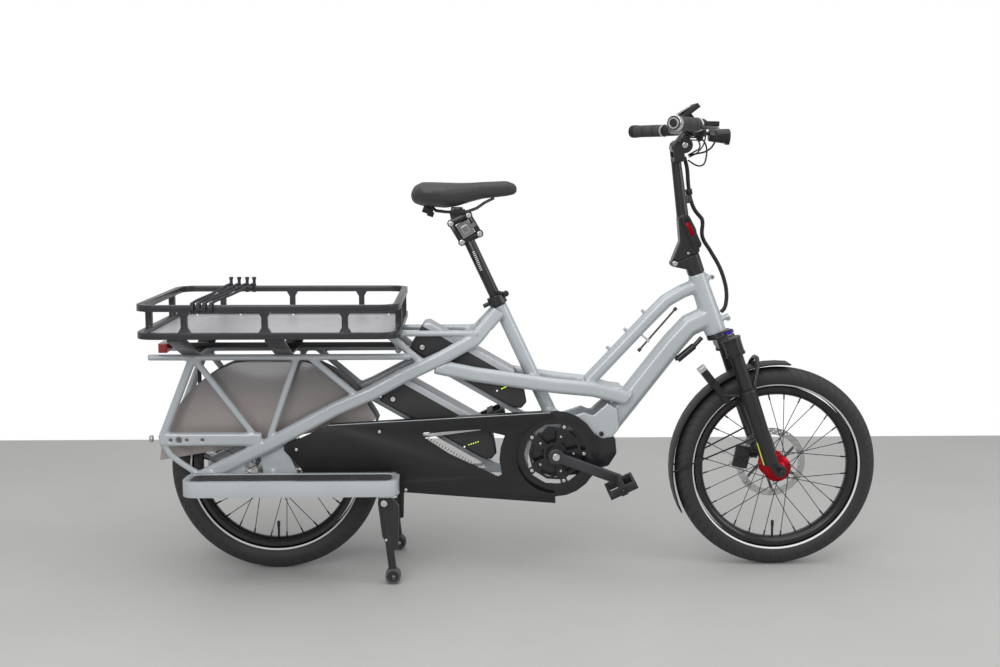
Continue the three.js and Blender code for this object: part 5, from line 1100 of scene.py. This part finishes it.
def deckPad(side, name, v):
    (x0, x1), (y0, y1) = v["x"], v["y"]
    y = side * (y0 + y1) / 2
    pad = added("deckPad_" + name, "cube", size=1)
    pad.scale = ((x1 - x0) / 1000, (y1 - y0) / 1000, v["thick"] / 1000)
    pad.location = spot((x0 + x1) / 2, y, v["z"] + v["thick"] / 2)
    settle(pad)
    edit(pad, "DESELECT")
    bpy.ops.mesh.select_mode(type="EDGE")
    done()
    for edge in pad.data.edges:
        edge.select = upright(edge, pad.data.vertices)
    bpy.ops.object.mode_set(mode="EDIT")
    bpy.ops.mesh.bevel(offset=v["corner"] / 1000, segments=6, affect="EDGES")
    bpy.ops.mesh.select_mode(type="VERT")
    done()
    mount(smoothShade(pad), "frame", "deckPad")
    size = (y1 - y0 - 2 * v["margin"], v["ribWidth"], v["ribHeight"])
    for x in range(x0 + v["ribFrom"], x1 - v["ribEnds"], v["ribPitch"]):
        copyOf(block, spot(x, y, v["z"] + v["thick"]), (0, 0, 1), size, "frame", "deckPad")


for side, name in ((-1, "right"), (1, "left")):
    deckPad(side, name, padShape)


# Cockpit: grip collars and caps, the display's screen, the stem's clamp drum and the lamp's lens and rim
cockpitFittings = {
    "gripEnd": (939.7, 342.0, 1115.8), "gripLine": (74.2, -106.7),
    "gripCollars": ((0.0026, (34.4, 15), "blackPlastic"), (-0.0005, (25, 3), "blackPlastic"),
                    (0.122, (33.4, 6), "silverCollar")),
    "screenAt": (-0.006, 0, 0.0065), "screenLean": (-0.53, 0, 0.85), "screen": (62, 34, 1.6),
    "lensAt": (-0.0024, 0, -0.002), "rimAt": (-0.0088, 0, -0.002), "lampLine": (1, 0, -0.06),
    "lens": (32, 2.5), "rim": (37, 9.5),
    "drum": ((pin, (1022, -25, 1073), (0, 1, 0), (40, 50), "cockpit", "satinBlack"),
             (collar, (1022, -27, 1073), (0, 1, 0), (37, 54), "cockpit", "glossBlack"),
             (screw, (1022, -25.5, 1073), (0, -1, 0), (14, 4), "cockpit", "bolt")),
}


def cockpitDetails(v):
    (x, y, z), (lineX, lineY) = v["gripEnd"], v["gripLine"]
    for side in (-1, 1):
        line = Vector((lineX, side * lineY, 0)).normalized()
        for along, size, finish in v["gripCollars"]:  # the near grip's outer collars are silver too
            place = spot(x, side * y, z) + line * along
            copyOf(collar, place, line, size, "cockpit", "silverCollar" if side < 0 else finish)
    low, high = (Vector(corner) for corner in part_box("display"))
    middle = (low + high) / 2 + Vector(v["screenAt"])
    copyOf(block, middle, v["screenLean"], v["screen"], "cockpit", "screenGlass")
    placeRows(v["drum"])
    low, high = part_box("headlight")
    front = Vector((high[0], 0, (low[2] + high[2]) / 2))
    copyOf(pin, front + Vector(v["lensAt"]), v["lampLine"], v["lens"], "cockpit", "lampLens")
    copyOf(collar, front + Vector(v["rimAt"]), v["lampLine"], v["rim"], "cockpit", "glossBlack")


cockpitDetails(cockpitFittings)


# Mast and its latch: hinge caps, latch screws and the hose's clip
mastFittings = {"hinge": (1003.3, 780), "cap": (13, 4), "latch": (1060, 830), "latchScrew": (9, 3),
                "bolts": ((1037, 806), (1046, 795)), "boltSize": (6, 2), "clip": (1042.5, 14, 951),
                "clipLine": (-0.2, 0, 1), "clipSize": (17, 14)}


def mastDetails(v):
    for side in (-1, 1):
        sideScrew("mast_base", *v["hinge"], v["cap"], "silverCollar", side)
    sideScrew("latch_lever", *v["latch"], v["latchScrew"])
    for x, z in v["bolts"]:
        sideScrew("mast", x, z, v["boltSize"])
    copyOf(collar, spot(*v["clip"]), v["clipLine"], v["clipSize"], "folding_mast", "blackPlastic")


mastDetails(mastFittings)


# Seat: pivot bolts of the linkage, and a cover that an arm on the front link holds outside both links
seatFittings = {
    "pivots": {"seat_link_front": ((515.86, 854.65), (488.39, 900.91)),
               "seat_link_rear": ((471.85, 833.56), (444.38, 879.82))},
    "pivotY": 19.2, "pivotBolt": (13, 3.5), "cover": (480.5, 866), "coverLine": (-27.5, 0, 46.3),
    "coverPin": (502.1, 877.8), "pinWidth": 9, "armY": 24, "arm": (2, 32, 11),
    "plates": (  # distance across the bike, size, finish
        (24.2, (2.8, 33, 37), "coverGrey"), (25.4, (1.4, 17, 19), "silverCollar"),
        (25.7, (1.4, 14.5, 16.5), "coverGrey")),
}


def seatDetails(v):
    for node, places in v["pivots"].items():
        for x, z in places:
            for side in (-1, 1):
                place = spot(x, side * v["pivotY"], z)
                copyOf(screw, place, (0, side, 0), v["pivotBolt"], bodyOfNode[node], "bolt")
    (x, z), (pinX, pinZ), line = v["cover"], v["coverPin"], v["coverLine"]
    for side in (-1, 1):
        start = faceAt("seat_link_front", pinX, pinZ, side) - Vector((0, side * 0.001, 0))
        strut(start, spot(pinX, side * (v["armY"] + 0.2), pinZ), v["pinWidth"], "front_link", "satinBlack")
        middle = spot((x + pinX) / 2, side * v["armY"], (z + pinZ) / 2)
        copyOf(block, middle, line, v["arm"], "front_link", "coverGrey")
        for y, size, finish in v["plates"]:
            copyOf(block, spot(x, side * y, z), line, size, "front_link", finish)


seatDetails(seatFittings)

# A clip under the saddle's tail, and the ring lock's keyed body at its near end
placeRows((
    (block, (388, 0, 914), (0.35, 0, 1), (34, 26, 20), "seat_top", "blackPlastic"),
    (block, (394, 0, 903), (0.35, 0, 1), (24, 16, 12), "seat_top", "glossBlack"),
    (block, (1082, -52, 505), (-0.62, 0, 0.78), (26, 20, 44), "fork_slider", "glossBlack"),
    (block, (1071.15, -52, 518.65), (-0.62, 0, 0.78), (27, 21, 12), "fork_slider", "silverCollar"),
    (screw, (1082, -61.5, 505), (0, -1, 0), (9, 2.5), "fork_slider", "bolt"),
))

for form in forms:
    bpy.data.objects.remove(form)
for (body, finish), pieces in fittings.items():
    mount(smoothShade(joined(pieces, body + "_" + finish + "Fittings")), body, finish)
print("fittings joined:", len(fittings))


# Floor, with its far edge where the photograph has it; the air beyond is white
stageView = {"colour": (0.47, 0.468, 0.462), "farEdge": 1.514, "size": 9.0}


def makeStage(v):
    place = (0, v["farEdge"] - v["size"] / 2, 0)
    floor = added("studioFloor", "plane", size=v["size"], location=place)
    f = Finish("studioFloor", v["colour"], 0.55)
    cloud = f.ramp(f.noise(f.place(), 1.6, 5, 0.6), 0.35, 0.7)
    f.feed(colour=f.blend(cloud, v["colour"], shade(v["colour"], 0.96)), roughness=cloud * 0.05 + 0.5)
    floor.data.materials.append(f.material)


makeStage(stageView)


# Soft lamps: place, point aimed at, width and power
lamps = {"overhead": ((0.0, -0.6, 3.2), (0, 0, 0), 4.2, 62),
         "front": ((-1.2, -3.6, 2.4), (0, 0, 0.5), 2.6, 62),
         "side": ((3.4, -1.4, 1.8), (0, 0, 0.5), 2.0, 22)}


def makeLamp(name, place, aim, size, power):
    data = bpy.data.lights.new(name, "AREA")
    data.shape, data.size, data.energy = "DISK", size, power
    lamp = bpy.data.objects.new(name, data)
    lamp.location = place
    lamp.rotation_euler = (Vector(aim) - Vector(place)).to_track_quat("-Z", "Y").to_euler()
    bpy.context.scene.collection.objects.link(lamp)


for lampName, values in lamps.items():
    makeLamp(lampName, *values)


# The air is white where the camera sees it, and softer as a light
airLevels = {"To Min": 0.55, "To Max": 1.0}


def makeAir(v):
    world = bpy.data.worlds.new("studioAir")
    bpy.context.scene.world = world
    world.use_nodes = True
    nodes, links = world.node_tree.nodes, world.node_tree.links
    rays, either, level = (nodes.new("ShaderNode" + kind) for kind in ("LightPath", "Math", "MapRange"))
    either.operation = "MAXIMUM"
    for socket, value in v.items():
        level.inputs[socket].default_value = value
    links.new(rays.outputs["Is Camera Ray"], either.inputs[0])
    links.new(rays.outputs["Is Transmission Ray"], either.inputs[1])
    links.new(either.outputs[0], level.inputs["Value"])
    nodes["Background"].inputs["Color"].default_value = (1, 1, 1, 1)
    links.new(level.outputs[0], nodes["Background"].inputs["Strength"])


makeAir(airLevels)
bpy.context.scene.view_settings.view_transform = "Standard"
print("stage and lamps done")
